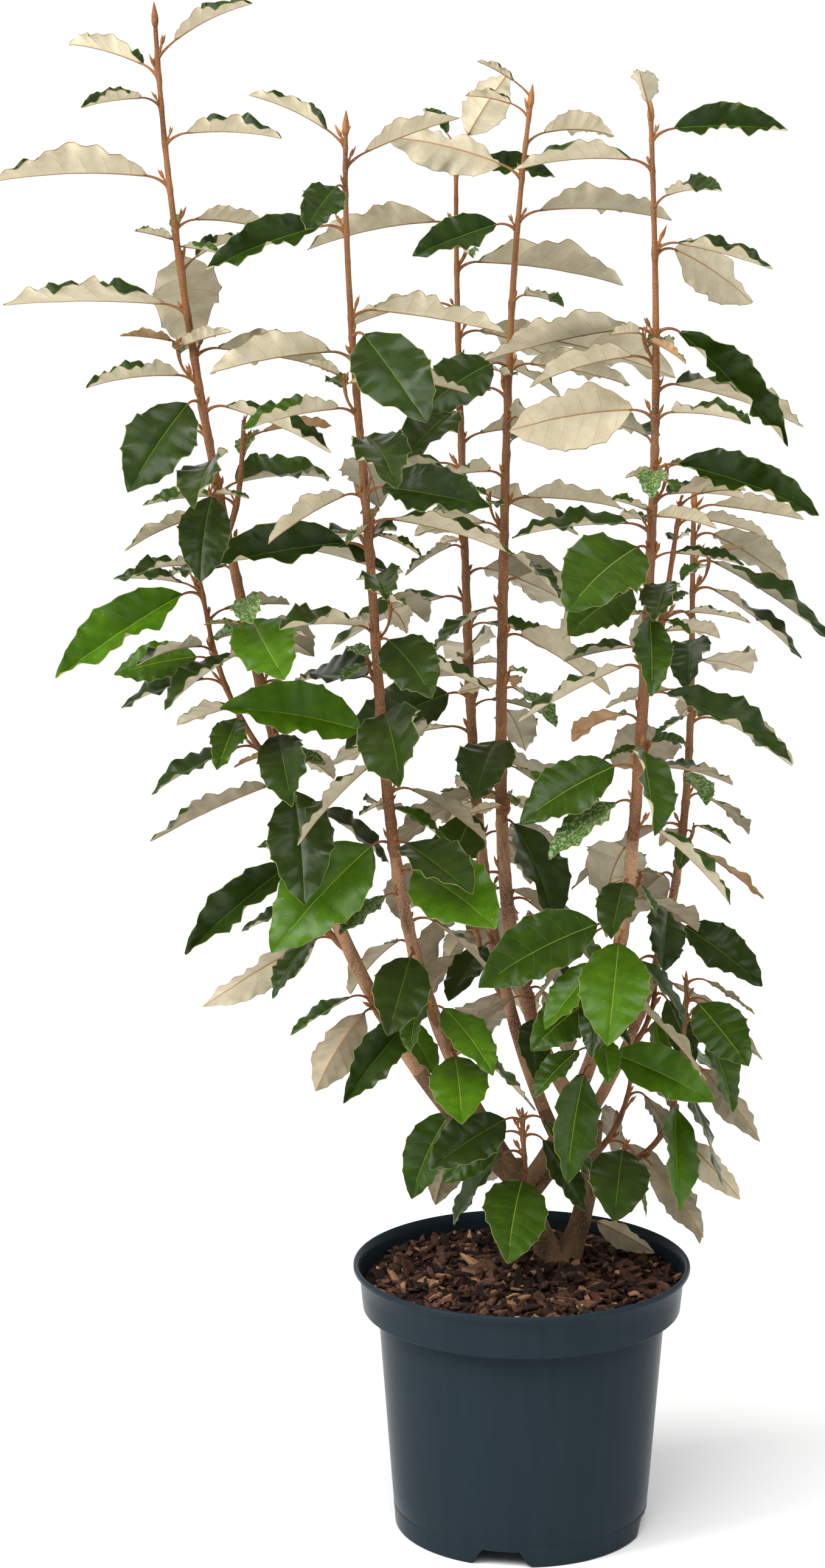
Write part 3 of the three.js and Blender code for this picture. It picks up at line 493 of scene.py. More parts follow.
class Crown:
    """The growing plant: what already takes up room, and which leaves each stem bears."""

    def __init__(self, stems: list[Stem]) -> None:
        """Notes where the limbs run.

        Args:
            stems: Every cane, shoot and trunk limb.
        """
        points, radii = [], []
        for stem in stems:
            count = math.ceil(stem.rise / LIMB_POINT_SPACING)
            heights = stem.rise * np.arange(count + 1) / count
            points.append(stem.centre(heights))
            radii.append(stem.radius(heights))
        self.limb_points = np.vstack(points)
        self.limb_radii = np.concatenate(radii)
        self.blade_points = np.zeros((0, 3))

    def is_free(self, leaf: Leaf, points: Array, room: float = LEAF_ROOM) -> bool:
        """Whether a leaf keeps clear of the pot, the soil, the limbs, the other leaves and the plant's top.

        Args:
            leaf: The leaf.
            points: Its probes.
            room: How far it stays from other leaves.

        Returns:
            True if it is clear of all of them.
        """
        heights = points[:, 2]
        if heights.max() > PLANT_TOP or heights.min() < SOIL_HEIGHT + SOIL_ROOM:
            return False
        over_pot = np.hypot(points[:, 0], points[:, 1]) < RIM_ROOM_RADIUS
        if (over_pot & (heights < RIM_ROOM_HEIGHT)).any():
            return False
        low, high = points.min(0) - room, points.max(0) + room
        near = self.blade_points[((self.blade_points > low) & (self.blade_points < high)).all(1)]
        if len(near) and np.linalg.norm(points[:, None] - near, axis=2).min() < room:
            return False
        own = np.linalg.norm(self.limb_points - leaf.root, axis=1) <= leaf.stem_radius + OWN_STALK_ROOM
        others, radii = self.limb_points[~own], self.limb_radii[~own]
        distances = np.linalg.norm(points[:, None] - others, axis=2)
        return bool((distances >= radii + LIMB_ROOM).all())

    def grow(self, stem: Stem, dice: Dice) -> list[Leaf]:
        """The leaves of one stem, from its tip down. A leaf that finds no room is left out.

        Args:
            stem: The stem that bears them.
            dice: Its dice.

        Returns:
            The leaves that found room.
        """
        grown = []
        lowest = (stem.foot[2] if stem.bare is None else stem.bare) - stem.foot[2]
        height = stem.rise - stem.first_leaf
        way = 0.0
        count = 0
        while height > lowest and count < stem.most:
            listed = count < len(stem.leaves)
            way = int(stem.leaves[count], 16) * DIRECTION_STEP if listed else way + SPIRAL_TURN
            young = not listed and count % YOUNG_LEAF_EVERY == YOUNG_LEAF_EVERY - 1
            usual = min(1.0, TIP_LEAF_SIZE + LEAF_SIZE_GROWTH * count)
            share = int(stem.sizes[count], 16) / 10 if count < len(stem.sizes) else usual
            leaf = self.fit(stem, height, way, count, share * YOUNG_LEAF_SIZE if young else share, dice)
            if leaf:
                grown.append(replace(leaf, young=young))
            gap = TOP_LEAF_GAP if stem.foot[2] + height > CROWDED_BELOW else CROWDED_LEAF_GAP
            gap = gap if stem.leaf_gap is None else stem.leaf_gap
            height -= min(gap, TIP_LEAF_GAP + LEAF_GAP_GROWTH * count)
            count += 1
        return grown

    def settle(self, leaf: Leaf) -> Leaf | None:
        """The leaf, turned and dipped until it is clear.

        Args:
            leaf: The leaf as it would like to lie.

        Returns:
            The leaf as it lies, or None where there is no room.
        """
        for nudge in NUDGES:
            for dip in DIPS:
                aim, pitch = leaf.aim + math.radians(nudge), leaf.pitch + math.radians(dip)
                moved = replace(leaf, aim=aim, pitch=pitch)
                points = moved.probes()
                if self.is_free(moved, points):
                    self.blade_points = np.vstack([self.blade_points, points])
                    return moved
        return None

    @staticmethod
    def broad_leaf(stem: Stem, values: BroadLeaf) -> Leaf:
        """A broad leaf, whose face turns to the front and a little up, or its underside if its face is -1.

        Args:
            stem: The stem that bears it.
            values: Its place and size.

        Returns:
            The leaf as it would like to lie.
        """
        height = values.at - stem.foot[2]
        aim, pitch = math.radians(values.way), math.radians(values.slope)
        middle = pitch - math.radians(BROAD_SAG) / 2
        out = heading(aim)
        along = out * math.cos(middle) + UP * math.sin(middle)
        flat = np.cross(UP, out)
        face = values.face * np.array(BROAD_FACE)
        return Leaf(
            root=stem.centre(height),
            aim=aim,
            length=values.length,
            width=values.length * BROAD_HALF_WIDTH_SHARE * (1 - values.fold / CLOSING_FOLD),
            stem_radius=float(stem.radius(height)),
            pitch=pitch,
            sag=math.radians(BROAD_SAG),
            fold=math.radians(values.fold),
            roll=math.atan2(-face @ flat, face @ np.cross(along, flat)),
            height=height,
            level=level_of(values.at),
            broad=True,
            petiole=values.stalk,
        )

    def fit(self, stem: Stem, height: float, way: float, count: int, share: float, dice: Dice) -> Leaf | None:
        """One leaf at a height on its stem.

        Args:
            stem: The stem that bears it.
            height: Its height above the stem's foot.
            way: The direction it would like to take, in degrees.
            count: The number of leaves above it on the stem.
            share: Its size as a share of a full leaf.
            dice: The stem's dice.

        Returns:
            The leaf, or None where there is no room.
        """
        turn = dice.roll(LEAF_TURN)
        usual_length = dice.roll(LEAF_LENGTH)
        length = (FULL_LEAF if count < len(stem.sizes) else usual_length) * stem.size * share
        half_width = dice.roll(HALF_WIDTH_SHARE)
        tilt = dice.roll(LEAF_TILT)
        sag = dice.roll(LEAF_SAG)
        crease = dice.roll(LEAF_CREASE)
        twist = dice.roll(LEAF_TWIST)
        if share == 0:
            return None
        root = stem.centre(height)
        level = level_of(root[2])
        rise = TIP_RISE * level * math.exp(-count / TIP_RISE_FADE)
        pitch = mix(TOP_PITCH, FOOT_PITCH, (1 - level) ** PITCH_EXPONENT) + tilt + rise
        fold = max(mix(FOOT_FOLD, TOP_FOLD, level**FOLD_EXPONENT) + crease, LEAST_FOLD)
        away = root[:2] - CROWN_AXIS
        away = away / max(np.linalg.norm(away), 1)
        face = FOOT_FACING * (1 - level) ** FACING_EXPONENT * away + TOP_FACING * level * np.array(LIGHT_WAY)
        aim = math.radians(way + turn)
        facing = face[0] * math.sin(aim) - face[1] * math.cos(aim)
        return self.settle(
            Leaf(
                root=root,
                aim=aim,
                length=length,
                width=length * half_width * mix(FOOT_BREADTH, TOP_BREADTH, level),
                stem_radius=float(stem.radius(height)),
                pitch=math.radians(pitch),
                sag=math.radians(sag),
                fold=math.radians(fold),
                roll=math.radians(twist + facing),
                height=height,
                level=level,
                petiole=stem.stalk,
            )
        )


def linear(colour: str) -> Colour:
    """An sRGB hex colour as linear red, green, blue and alpha."""
    values = [int(colour[i : i + 2], 16) / 255 for i in (1, 3, 5)]
    return (*(v / 12.92 if v <= 0.04045 else ((v + 0.055) / 1.055) ** 2.4 for v in values), 1.0)


def add(tree: Tree, kind: str, inputs: dict | None = None, **settings: object) -> bpy.types.Node:
    """Adds a node to a tree.

    Args:
        tree: The node tree.
        kind: The node's type, without its ShaderNode prefix.
        inputs: Output sockets or plain values, by the name or number of the input that each one feeds.
        settings: Values by the name of the node's property or input, with _ for spaces in an input's name.

    Returns:
        The node.
    """
    node = tree.nodes.new("ShaderNode" + kind)
    for name, value in settings.items():
        if hasattr(node, name):
            setattr(node, name, value)
        else:
            node.inputs[name.replace("_", " ")].default_value = value
    for name, source in (inputs or {}).items():
        if isinstance(source, Socket):
            tree.links.new(source, node.inputs[name])
        else:
            node.inputs[name].default_value = source
    return node


def layer(
    tree: Tree, pattern: Socket, span: Span, under: Socket | Colour, over: str, most: float = 1.0
) -> Socket:
    """Lays a colour over another by a pattern.

    Args:
        tree: The node tree.
        pattern: The pattern's value.
        span: The values where the upper colour starts to show and where it shows most.
        under: The lower colour, as a socket or as linear values.
        over: The upper colour, as an sRGB hex value.
        most: How much of the upper colour shows where it shows most.

    Returns:
        The colour's socket.
    """
    share = add(tree, "MapRange", {"Value": pattern}, From_Min=span[0], From_Max=span[1], To_Max=most)
    mixed = add(tree, "Mix", {0: share.outputs["Result"], 6: under, 7: linear(over)}, data_type="RGBA")
    return mixed.outputs[2]


def per_metre(size: float) -> float:
    """The scale of a texture whose pattern repeats about every `size` millimetres."""
    return 1000.0 / size


@dataclass(frozen=True)
class Finish:
    """A surface of one plain colour, and what the patterned finishes share. Sizes are in millimetres."""

    name: str
    colour: str
    roughness: float
    ior: float = 1.45
    specular: float = 0.5
    relief: float = 0.0
    relief_strength: float = 0.5

    def tree(self) -> tuple[bpy.types.Material, Tree, bpy.types.Node]:
        """A new material with its shader.

        Returns:
            The material, its node tree and its Principled shader, at this finish's plain values.
        """
        made = bpy.data.materials.new(self.name)
        made.use_nodes = True
        made.diffuse_color = linear(self.colour)
        shader = made.node_tree.nodes["Principled BSDF"]
        shader.inputs["Base Color"].default_value = linear(self.colour)
        shader.inputs["Roughness"].default_value = self.roughness
        shader.inputs["IOR"].default_value = self.ior
        shader.inputs["Specular IOR Level"].default_value = self.specular
        return made, made.node_tree, shader

    def dress(self, shader: bpy.types.Node, colour: Socket, height: Socket) -> None:
        """Gives the shader a patterned colour and a relief.

        Args:
            shader: The Principled shader.
            colour: The colour's socket.
            height: The relief's socket.
        """
        tree = shader.id_data
        bump = add(tree, "Bump", {"Height": height}, Strength=self.relief_strength, Distance=self.relief * MM)
        tree.links.new(colour, shader.inputs["Base Color"])
        tree.links.new(bump.outputs["Normal"], shader.inputs["Normal"])

    def material(self) -> bpy.types.Material:
        """The material, plain."""
        return self.tree()[0]


@dataclass(frozen=True)
class Flecked(Finish):
    """A skin that is mottled over a few millimetres, with small round flecks strewn over it."""

    mottle: str = ""
    mottle_size: float = 9.0
    mottle_range: Span = (0.38, 0.68)
    fleck: str = ""
    fleck_spacing: float = 3.2
    fleck_radius: float = 0.3
    fleck_core: float = 0.6
    relief: float = 0.16
    relief_size: float = 1.3
    sheen: float = 0.0

    def material(self) -> bpy.types.Material:
        """The material, with its mottling, flecks and relief."""
        made, tree, shader = self.tree()
        place = add(tree, "TexCoord").outputs["Object"]
        clouds = add(tree, "TexNoise", {"Vector": place}, Scale=per_metre(self.mottle_size), Detail=4.0)
        skin = layer(tree, clouds.outputs["Fac"], self.mottle_range, linear(self.colour), self.mottle)
        cells = add(tree, "TexVoronoi", {"Vector": place}, Scale=per_metre(self.fleck_spacing))
        reach = self.fleck_radius / self.fleck_spacing
        flecked = layer(tree, cells.outputs["Distance"], (reach, self.fleck_core * reach), skin, self.fleck)
        grain = add(tree, "TexNoise", {"Vector": place}, Scale=per_metre(self.relief_size), Detail=3.0)
        self.dress(shader, flecked, grain.outputs["Fac"])
        shader.inputs["Sheen Weight"].default_value = self.sheen
        return made


@dataclass(frozen=True)
class Bark(Finish):
    """Young bark: a brown skin under fine pale scales, with darker weathering along the stem."""

    scale_colour: str = ""
    scale_size: float = 0.8
    scale_range: Span = (0.5, 0.72)
    scale_cover: float = 0.75
    shade: str = ""
    weather_size: float = 14.0
    weather_range: Span = (0.4, 0.68)
    weather_stretch: float = 0.35
    relief: float = 0.35
    relief_strength: float = 0.8

    def material(self) -> bpy.types.Material:
        """The material, with its scales, weathering and relief."""
        made, tree, shader = self.tree()
        place = add(tree, "TexCoord").outputs["Object"]
        stretch = (1.0, 1.0, self.weather_stretch)
        along = add(tree, "Mapping", {"Vector": place}, Scale=stretch).outputs["Vector"]
        weather = add(tree, "TexNoise", {"Vector": along}, Scale=per_metre(self.weather_size), Detail=5.0)
        skin = layer(tree, weather.outputs["Fac"], self.weather_range, linear(self.colour), self.shade)
        scales = add(tree, "TexNoise", {"Vector": place}, Scale=per_metre(self.scale_size), Detail=2.0)
        scaly = layer(
            tree, scales.outputs["Fac"], self.scale_range, skin, self.scale_colour, self.scale_cover
        )
        height = add(tree, "Math", {0: scales.outputs["Fac"], 1: weather.outputs["Fac"]}, operation="ADD")
        self.dress(shader, scaly, height.outputs["Value"])
        return made


@dataclass(frozen=True)
class Moulded(Finish):
    """Injection-moulded polypropylene: one dark colour, faintly streaked up the wall, with a satin skin."""

    streak: str = ""
    streak_width: float = 7.0
    streak_range: Span = (0.35, 0.75)
    streak_stretch: float = 0.05
    dust: str = ""
    dust_spacing: float = 6.0
    dust_radius: float = 0.28
    dust_core: float = 0.5
    dust_cover: float = 0.6
    relief: float = 0.05
    relief_size: float = 0.9
    relief_strength: float = 0.4

    def material(self) -> bpy.types.Material:
        """The material, with its streaks, dust and orange-peel relief."""
        made, tree, shader = self.tree()
        place = add(tree, "TexCoord").outputs["Object"]
        stretch = (1.0, 1.0, self.streak_stretch)
        upright = add(tree, "Mapping", {"Vector": place}, Scale=stretch).outputs["Vector"]
        streaks = add(tree, "TexNoise", {"Vector": upright}, Scale=per_metre(self.streak_width), Detail=4.0)
        skin = layer(tree, streaks.outputs["Fac"], self.streak_range, linear(self.colour), self.streak)
        cells = add(tree, "TexVoronoi", {"Vector": place}, Scale=per_metre(self.dust_spacing))
        reach = self.dust_radius / self.dust_spacing
        specks = (reach, self.dust_core * reach)
        dusty = layer(tree, cells.outputs["Distance"], specks, skin, self.dust, self.dust_cover)
        peel = add(tree, "TexNoise", {"Vector": place}, Scale=per_metre(self.relief_size), Detail=2.0)
        self.dress(shader, dusty, peel.outputs["Fac"])
        return made


# Leaf skins, in the order of a leaf piece's material slots. The waxy cuticle above is glossy and strewn
# with a few silvery scales, and the felt of scales below is dull, cream and dotted with brown ones.
class Skin(Enum):
    """The skins of a leaf, each with its finish."""

    # The deep, mid and bright cuticles are one green in three tones, partly painted shade and painted light.
    DEEP = Flecked(
        "leaf_cuticle_deep", "#24350D", 0.29, specular=0.26, mottle="#2D4011",
        fleck="#7F8C68", fleck_spacing=5.0, fleck_radius=0.24,
    )
    MID = Flecked(
        "leaf_cuticle_mid", "#2E470A", 0.3, specular=0.28, mottle="#38550C",
        fleck="#A3B080", fleck_spacing=4.6, fleck_radius=0.26,
    )
    BRIGHT = Flecked(
        "leaf_cuticle_bright", "#3C6008", 0.31, specular=0.28, mottle="#4A700A",
        fleck="#C3CD9C", fleck_spacing=4.2, fleck_radius=0.28,
    )
    YOUNG = Flecked(
        "leaf_cuticle_young", "#3A5E1C", 0.5, specular=0.2, mottle="#8C9A70", mottle_size=2.0,
        mottle_range=(0.48, 0.62), fleck="#C9D0BC", fleck_spacing=1.3, fleck_radius=0.3,
    )
    CREAM = Flecked(
        "leaf_felt_cream", "#CCBF9F", 0.66, specular=0.15, mottle="#D8CDB2",
        fleck="#8A6442", fleck_spacing=2.2, fleck_radius=0.27, sheen=0.05,
    )
    # The silver and grey felts are darker copies of the cream one, partly painted shade on the lower leaves.
    SILVER = Flecked(
        "leaf_felt_silver", "#BBB094", 0.66, specular=0.15, mottle="#C9C0A6",
        fleck="#755539", fleck_spacing=2.2, fleck_radius=0.27, sheen=0.05,
    )
    GREY = Flecked(
        "leaf_felt_grey", "#958A72", 0.68, specular=0.15, mottle="#A79C84",
        fleck="#5E4934", fleck_spacing=3.0, fleck_radius=0.26, sheen=0.04,
    )
    COPPER = Flecked(
        "leaf_felt_copper", "#AE8458", 0.62, specular=0.25, mottle="#C6A179",
        fleck="#7D5430", fleck_spacing=1.5, fleck_radius=0.2, sheen=0.08,
    )
    RIB_ABOVE = Finish("midrib_above", "#8CA035", 0.42, specular=0.2)
    RIB_BELOW = Finish("midrib_below", "#A98257", 0.55, specular=0.2)
    VEIN_ABOVE = Finish("side_vein_above", "#4F7412", 0.4, specular=0.2)
    VEIN_BELOW = Finish("side_vein_below", "#B5A57E", 0.64, specular=0.15)
    MARGIN = Finish("leaf_margin_above", "#7E8448", 0.5, specular=0.2)
    MARGIN_BELOW = Finish("leaf_margin_below", "#94713F", 0.6, specular=0.15)


# Bark, from the oldest to the youngest. It is browner and duller towards the foot.
class Stage(Enum):
    """The ages of the bark, each with its finish."""

    OLD = Bark("bark_old", "#7C6149", 0.84, specular=0.2, scale_colour="#B0926F", shade="#47372A")
    # The brown bark is partly painted light: lighter than the bark below and above it, for boughs in the
    # leaves' shade.
    BROWN = Bark("bark_brown", "#AE8565", 0.8, specular=0.2, scale_colour="#DDBA96", shade="#66493A")
    COPPER = Bark(
        "bark_copper", "#8A6042", 0.72, specular=0.2, scale_colour="#BB8C66", scale_size=0.7, shade="#5C3E2B"
    )
    SHOOT = Bark(
        "bark_young_shoot", "#91603C", 0.66, specular=0.2,
        scale_colour="#C08D60", scale_size=0.6, shade="#654128",
    )
    BUD = Bark(
        "bud_scales", "#A56C3A", 0.6, specular=0.2, scale_colour="#D09F66", scale_size=0.6, shade="#6B4226"
    )


# Moulded polypropylene is dark and even with a weak satin gloss, faint streaks up the wall and some dust.
SATIN_POLYPROPYLENE = Moulded(
    "satin_polypropylene", "#222D34", 0.27, 1.49, specular=0.04, streak="#253037", dust="#46525A"
)
# Damp potting mix is nearly black and dull, with a coarse crumb.
POTTING_MIX = Flecked(
    "damp_potting_mix", "#180E09", 0.95, specular=0.2, mottle="#2A1911",
    fleck="#4A3225", fleck_spacing=2.4, relief=1.2,
)
# Shredded bark weathers from red-brown to nearly black, and a few splinters of pale wood are among it.
CHIP_FINISHES = tuple(
    Flecked(
        f"bark_chip_{name}", colour, 0.86, specular=0.3, mottle=mottle, mottle_size=3.0, fleck=fleck,
        fleck_spacing=2.2, fleck_radius=0.28, relief=0.5, relief_size=0.9,
    )
    for name, colour, mottle, fleck in (
        ("dark", "#1B100A", "#2C1B12", "#4A3324"),
        ("brown", "#382216", "#523423", "#73503A"),
        ("red", "#50352A", "#6B4A3A", "#8A6854"),
        ("tan", "#7D5A42", "#997357", "#B08C6B"),
        ("pale", "#A98157", "#BF996B", "#846241"),
    )
)
CHIP_WEIGHTS = (0.42, 0.3, 0.17, 0.09, 0.02)
STUDIO_FLOOR = Finish("pale_studio_floor", "#FFFFFF", 1.0, specular=0.0)


def new_object(name: str, data: bpy.types.ID) -> bpy.types.Object:
    """A new object in the scene."""
    made = bpy.data.objects.new(name, data)
    bpy.context.scene.collection.objects.link(made)
    return made


@dataclass
class Pile:
    """Faces gathered for one joined piece."""

    points: list[Array] = field(default_factory=list)
    faces: list[Array] = field(default_factory=list)
    slots: list[Array] = field(default_factory=list)
    count: int = 0

    def put(self, points: Array, *patches: tuple[Array, Array | int]) -> None:
        """Adds a body.

        Args:
            points: Its points, in millimetres.
            patches: Its faces, as rows of point numbers, each with the material slot of each face or of all.
        """
        for faces, slots in patches:
            self.faces.append(faces + self.count)
            self.slots.append(np.broadcast_to(slots, len(faces)))
        self.points.append(points)
        self.count += len(points)

    def piece(
        self, name: str, finishes: list[Finish], nodes: tuple[str, ...] = (), smooth: bool = True
    ) -> bpy.types.Object:
        """Makes the joined piece, which rides on the plant's only body.

        Args:
            name: The piece's name.
            finishes: Its finishes, in the order of the material slots.
            nodes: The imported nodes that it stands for.
            smooth: Whether its faces are shaded smooth.

        Returns:
            The object.
        """
        mesh = bpy.data.meshes.new(name)
        points = np.vstack(self.points) * MM
        lengths = np.concatenate([np.full(len(f), f.shape[1]) for f in self.faces])
        corners = np.concatenate([f.ravel() for f in self.faces])
        mesh.vertices.add(len(points))
        mesh.vertices.foreach_set("co", points.ravel())
        mesh.loops.add(len(corners))
        mesh.loops.foreach_set("vertex_index", corners.astype(np.int32))
        mesh.polygons.add(len(lengths))
        starts = np.concatenate([[0], np.cumsum(lengths)[:-1]])
        mesh.polygons.foreach_set("loop_start", starts.astype(np.int32))
        for finish in finishes:
            mesh.materials.append(material_of(finish))
        mesh.polygons.foreach_set("material_index", np.concatenate(self.slots).astype(np.int32))
        mesh.polygons.foreach_set("use_smooth", np.full(len(lengths), smooth))
        mesh.update()
        mesh.validate()
        made = new_object(name, mesh)
        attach(made, "root")
        if nodes:
            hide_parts(*nodes)
        log.info("%s: %d triangles", name, (lengths - 2).sum())
        return made


MATERIALS: dict[str, bpy.types.Material] = {}


def material_of(finish: Finish) -> bpy.types.Material:
    """The finish's material, made once."""
    if finish.name not in MATERIALS:
        MATERIALS[finish.name] = finish.material()
    return MATERIALS[finish.name]


def grid_faces(rows: int, columns: int, wraps: bool = False) -> Array:
    """The quads of a grid of points numbered row by row.

    Args:
        rows: Number of rows.
        columns: Number of columns.
        wraps: Whether the last column joins the first.

    Returns:
        One row of four point numbers per quad.
    """
    row = np.arange(rows - 1)[:, None] * columns
    column = np.arange(columns if wraps else columns - 1)
    after = (column + 1) % columns
    quads = np.stack([row + column, row + after, row + columns + after, row + columns + column], axis=-1)
    return quads.reshape(-1, 4)


def end_faces(rings: int, sides: int) -> tuple[Array, Array]:
    """The faces that close the first and the last ring of a grid of points that wraps round."""
    ring = np.arange(sides)[None]
    return ring[:, ::-1], ring + (rings - 1) * sides


def tube(pile: Pile, centres: Array, radii: Array, side: Array, slots: Array | int = 0) -> None:
    """Adds a closed round limb.

    Args:
        pile: Where it goes.
        centres: The points along its middle.
        radii: Its radius at each point and side.
        side: A direction that the limb never runs in.
        slots: The material slot of each ring of faces, or of all.
    """
    rings, sides = radii.shape
    along = unit(np.gradient(centres, axis=0))
    first = unit(np.cross(along, side))[:, None]
    second = np.cross(along, first[:, 0])[:, None]
    turn = turns(sides)[:, None]
    ring = first * np.cos(turn) + second * np.sin(turn)
    points = (centres[:, None] + ring * radii[..., None]).reshape(-1, 3)
    around = np.broadcast_to(slots, rings - 1)
    foot, tip = end_faces(rings, sides)
    wall = grid_faces(rings, sides, wraps=True)
    pile.put(points, (wall, np.repeat(around, sides)), (foot, around[0]), (tip, around[-1]))


def round_radii(radii: Array, sides: int) -> Array:
    """The same radius on every side of a limb."""
    return np.repeat(np.asarray(radii, float)[:, None], sides, axis=1)


@dataclass
class Blade:
    """The fine shape of a leaf's blade: ribs, side veins, wavy edges and a thickness.

    Places along the blade are shares of its length, and places across it are shares of its half width.
    """

    veins: tuple[float, ...] = (0.1, 0.24, 0.38, 0.52, 0.66, 0.79)
    foot_rows: tuple[float, ...] = (0.0, 0.03, 0.065)
    tip_rows: tuple[float, ...] = (0.93, 0.968, 1.0)
    rows_between: int = 4
    columns: tuple[float, ...] = (0.28, 0.54, 0.78, 0.98, 1.0)
    vein_sweep: float = 0.13
    vein_curve: float = 1.3
    vein_half_width: float = 0.14
    rib_half_width: Span = (0.36, 0.62)
    rib_taper: float = 0.6
    rib_end: float = 0.8
    ridge_end: float = 0.99
    rib_height: float = 0.65
    widest_rib: float = 0.2
    groove: float = 0.25
    thickness: float = 0.32
    quilting: float = 0.5
    quilt_ends: Span = (-0.06, 0.94)
    waves: Span = (1.6, 2.8)
    wave_share: Span = (0.016, 0.042)
    wave_curve: float = 1.8
    ripples: Span = (5.0, 7.5)
    ripple_share: Span = (0.008, 0.022)
    ripple_curve: float = 2.5
    crispness: float = 0.7
    drift: float = 0.9
    still_ends: float = 0.02
    tooth_share: float = 0.1
    tooth_level: float = 0.25
    toothed_from: float = 0.9
    least_half_width: Span = (0.9, 0.22)
    side_bend: Span = (-0.07, 0.07)
    blade_twist: Span = (-20.0, 20.0)
    edge_curl: Span = (-6.0, 30.0)
    curl_growth: float = 1.2
    hinge: float = 0.16
    closed_fold: float = 45.0
    least_openness: float = 0.25

    def rows(self, length: float) -> tuple[Array, Array]:
        """The cross rows of a blade, two of them along each side vein.

        Args:
            length: The blade's length.

        Returns:
            The rows' places as shares of the midrib, and whether a side vein starts at each.
        """
        half = self.vein_half_width / length
        shares, starts = [*self.foot_rows], [False] * len(self.foot_rows)
        for vein, after in zip(self.veins, (*self.veins[1:], self.tip_rows[0])):
            between = np.linspace(vein, after, self.rows_between + 2)[1:-1]
            shares += [vein - half, vein + half, *between]
            starts += [True] + [False] * (1 + self.rows_between)
        return np.array([*shares, *self.tip_rows]), np.array(starts + [False] * len(self.tip_rows))

    def quilt(self, share: Array) -> Array:
        """How far the blade swells between its side veins, from 0 on a vein to 1 between two."""
        knots = np.array((self.quilt_ends[0], *self.veins, self.quilt_ends[1]))
        place = np.interp(share, knots, np.arange(len(knots)))
        return np.abs(np.sin(np.pi * place))

    def surface(self, leaf: Leaf, dice: Dice) -> list[Array]:
        """The blade's two faces.

        Args:
            leaf: Where the leaf grows.
            dice: The leaf's own dice.

        Returns:
            Grids of the points above and below.
        """
        base, _ = self.rows(leaf.length)
        growth = leaf.level**self.crispness
        crisp, ripple = mix(*self.wave_share, growth), mix(*self.ripple_share, growth)
        waves, ripples = dice.roll(self.waves), dice.roll(self.ripples)
        phases = [dice.roll((0, 2 * math.pi)) for _ in range(4)]
        bend, twist = dice.roll(self.side_bend), math.radians(dice.roll(self.blade_twist))
        openness = max(1 - leaf.fold / math.radians(self.closed_fold), self.least_openness)
        curl = math.radians(dice.roll(self.edge_curl)) * (self.curl_growth - leaf.level) * openness
        narrowing = 1 - self.rib_taper * base
        half_width = np.maximum(leaf.half_width(base), self.least_half_width[0])
        grids = []
        for way, rib, depth in zip((1, -1), self.rib_half_width, (self.groove, self.rib_height)):
            inner = np.minimum(rib * narrowing / half_width, self.widest_rib)[:, None]
            half = np.hstack([inner, np.tile(self.columns, (len(base), 1))])
            side = np.hstack([-half[:, ::-1], np.zeros((len(base), 1)), half])
            away, beside = np.abs(side), np.sign(side)
            swept = 4 * self.vein_sweep * (base * (1 - base))[:, None] * away**self.vein_curve
            share = base[:, None] + swept
            edge = self.outline(leaf, share, side, ripples, phases)
            point, _, across, normal = leaf.midrib(leaf.stalk + share * leaf.length, twist * share)
            point = point + across * (bend * leaf.length * share**2)[..., None]
            lateral, raised, slope = self.fold(leaf.fold, curl, away)
            lean = np.where(side > 0, phases[0], phases[1])
            fine = np.where(side > 0, phases[2], phases[3])
            wave = crisp * away**self.wave_curve * np.sin(2 * np.pi * waves * share + lean)
            drifting = fine + self.drift * np.sin(2 * np.pi * waves * share + fine)
            zigzag = np.arcsin(np.sin(2 * np.pi * ripples * share + drifting))
            wave = wave + ripple * away**self.ripple_curve * zigzag
            stirring = np.sqrt(np.sin(np.pi * np.clip(share, self.still_ends, 1 - self.still_ends)))
            swell = self.quilting * self.quilt(base)[:, None] * 4 * away * (1 - away)
            lift = wave * leaf.length * stirring + swell
            sideways = beside * edge * lateral - beside * lift * np.sin(slope)
            upward = edge * raised + lift * np.cos(slope)
            grid = point + across * sideways[..., None] + normal * upward[..., None]
            facing = unit(np.cross(np.gradient(grid, axis=0), np.gradient(grid, axis=1)))
            relief = np.full(grid.shape[:2], way * self.thickness / 2)
            relief[:, len(self.columns) + 1] -= depth * (narrowing * (base < self.ridge_end))
            grids.append(grid + facing * relief[..., None])
        return grids

    def outline(self, leaf: Leaf, share: Array, side: Array, ripples: float, phases: list[float]) -> Array:
        """Distance from the midrib to each point along the blade, with small teeth on the edge.

        Args:
            leaf: Where the leaf grows.
            share: The points' shares of the blade's length.
            side: The points' places from -1 at one edge to 1 at the other.
            ripples: Number of small waves on an edge.
            phases: Where the waves start.

        Returns:
            The edge's distance from the midrib at each point.
        """
        half = leaf.half_width(np.clip(share, 0, 1))
        fine = np.where(side > 0, phases[2], phases[3])
        tooth = (1 - np.abs(np.sin(np.pi * ripples * share + fine / 2))) ** 2
        toothed = np.abs(side) > self.toothed_from
        edge = half * (1 + self.tooth_share * (tooth - self.tooth_level) * toothed)
        return np.maximum(edge, mix(*self.least_half_width, np.clip(share, 0, 1)))

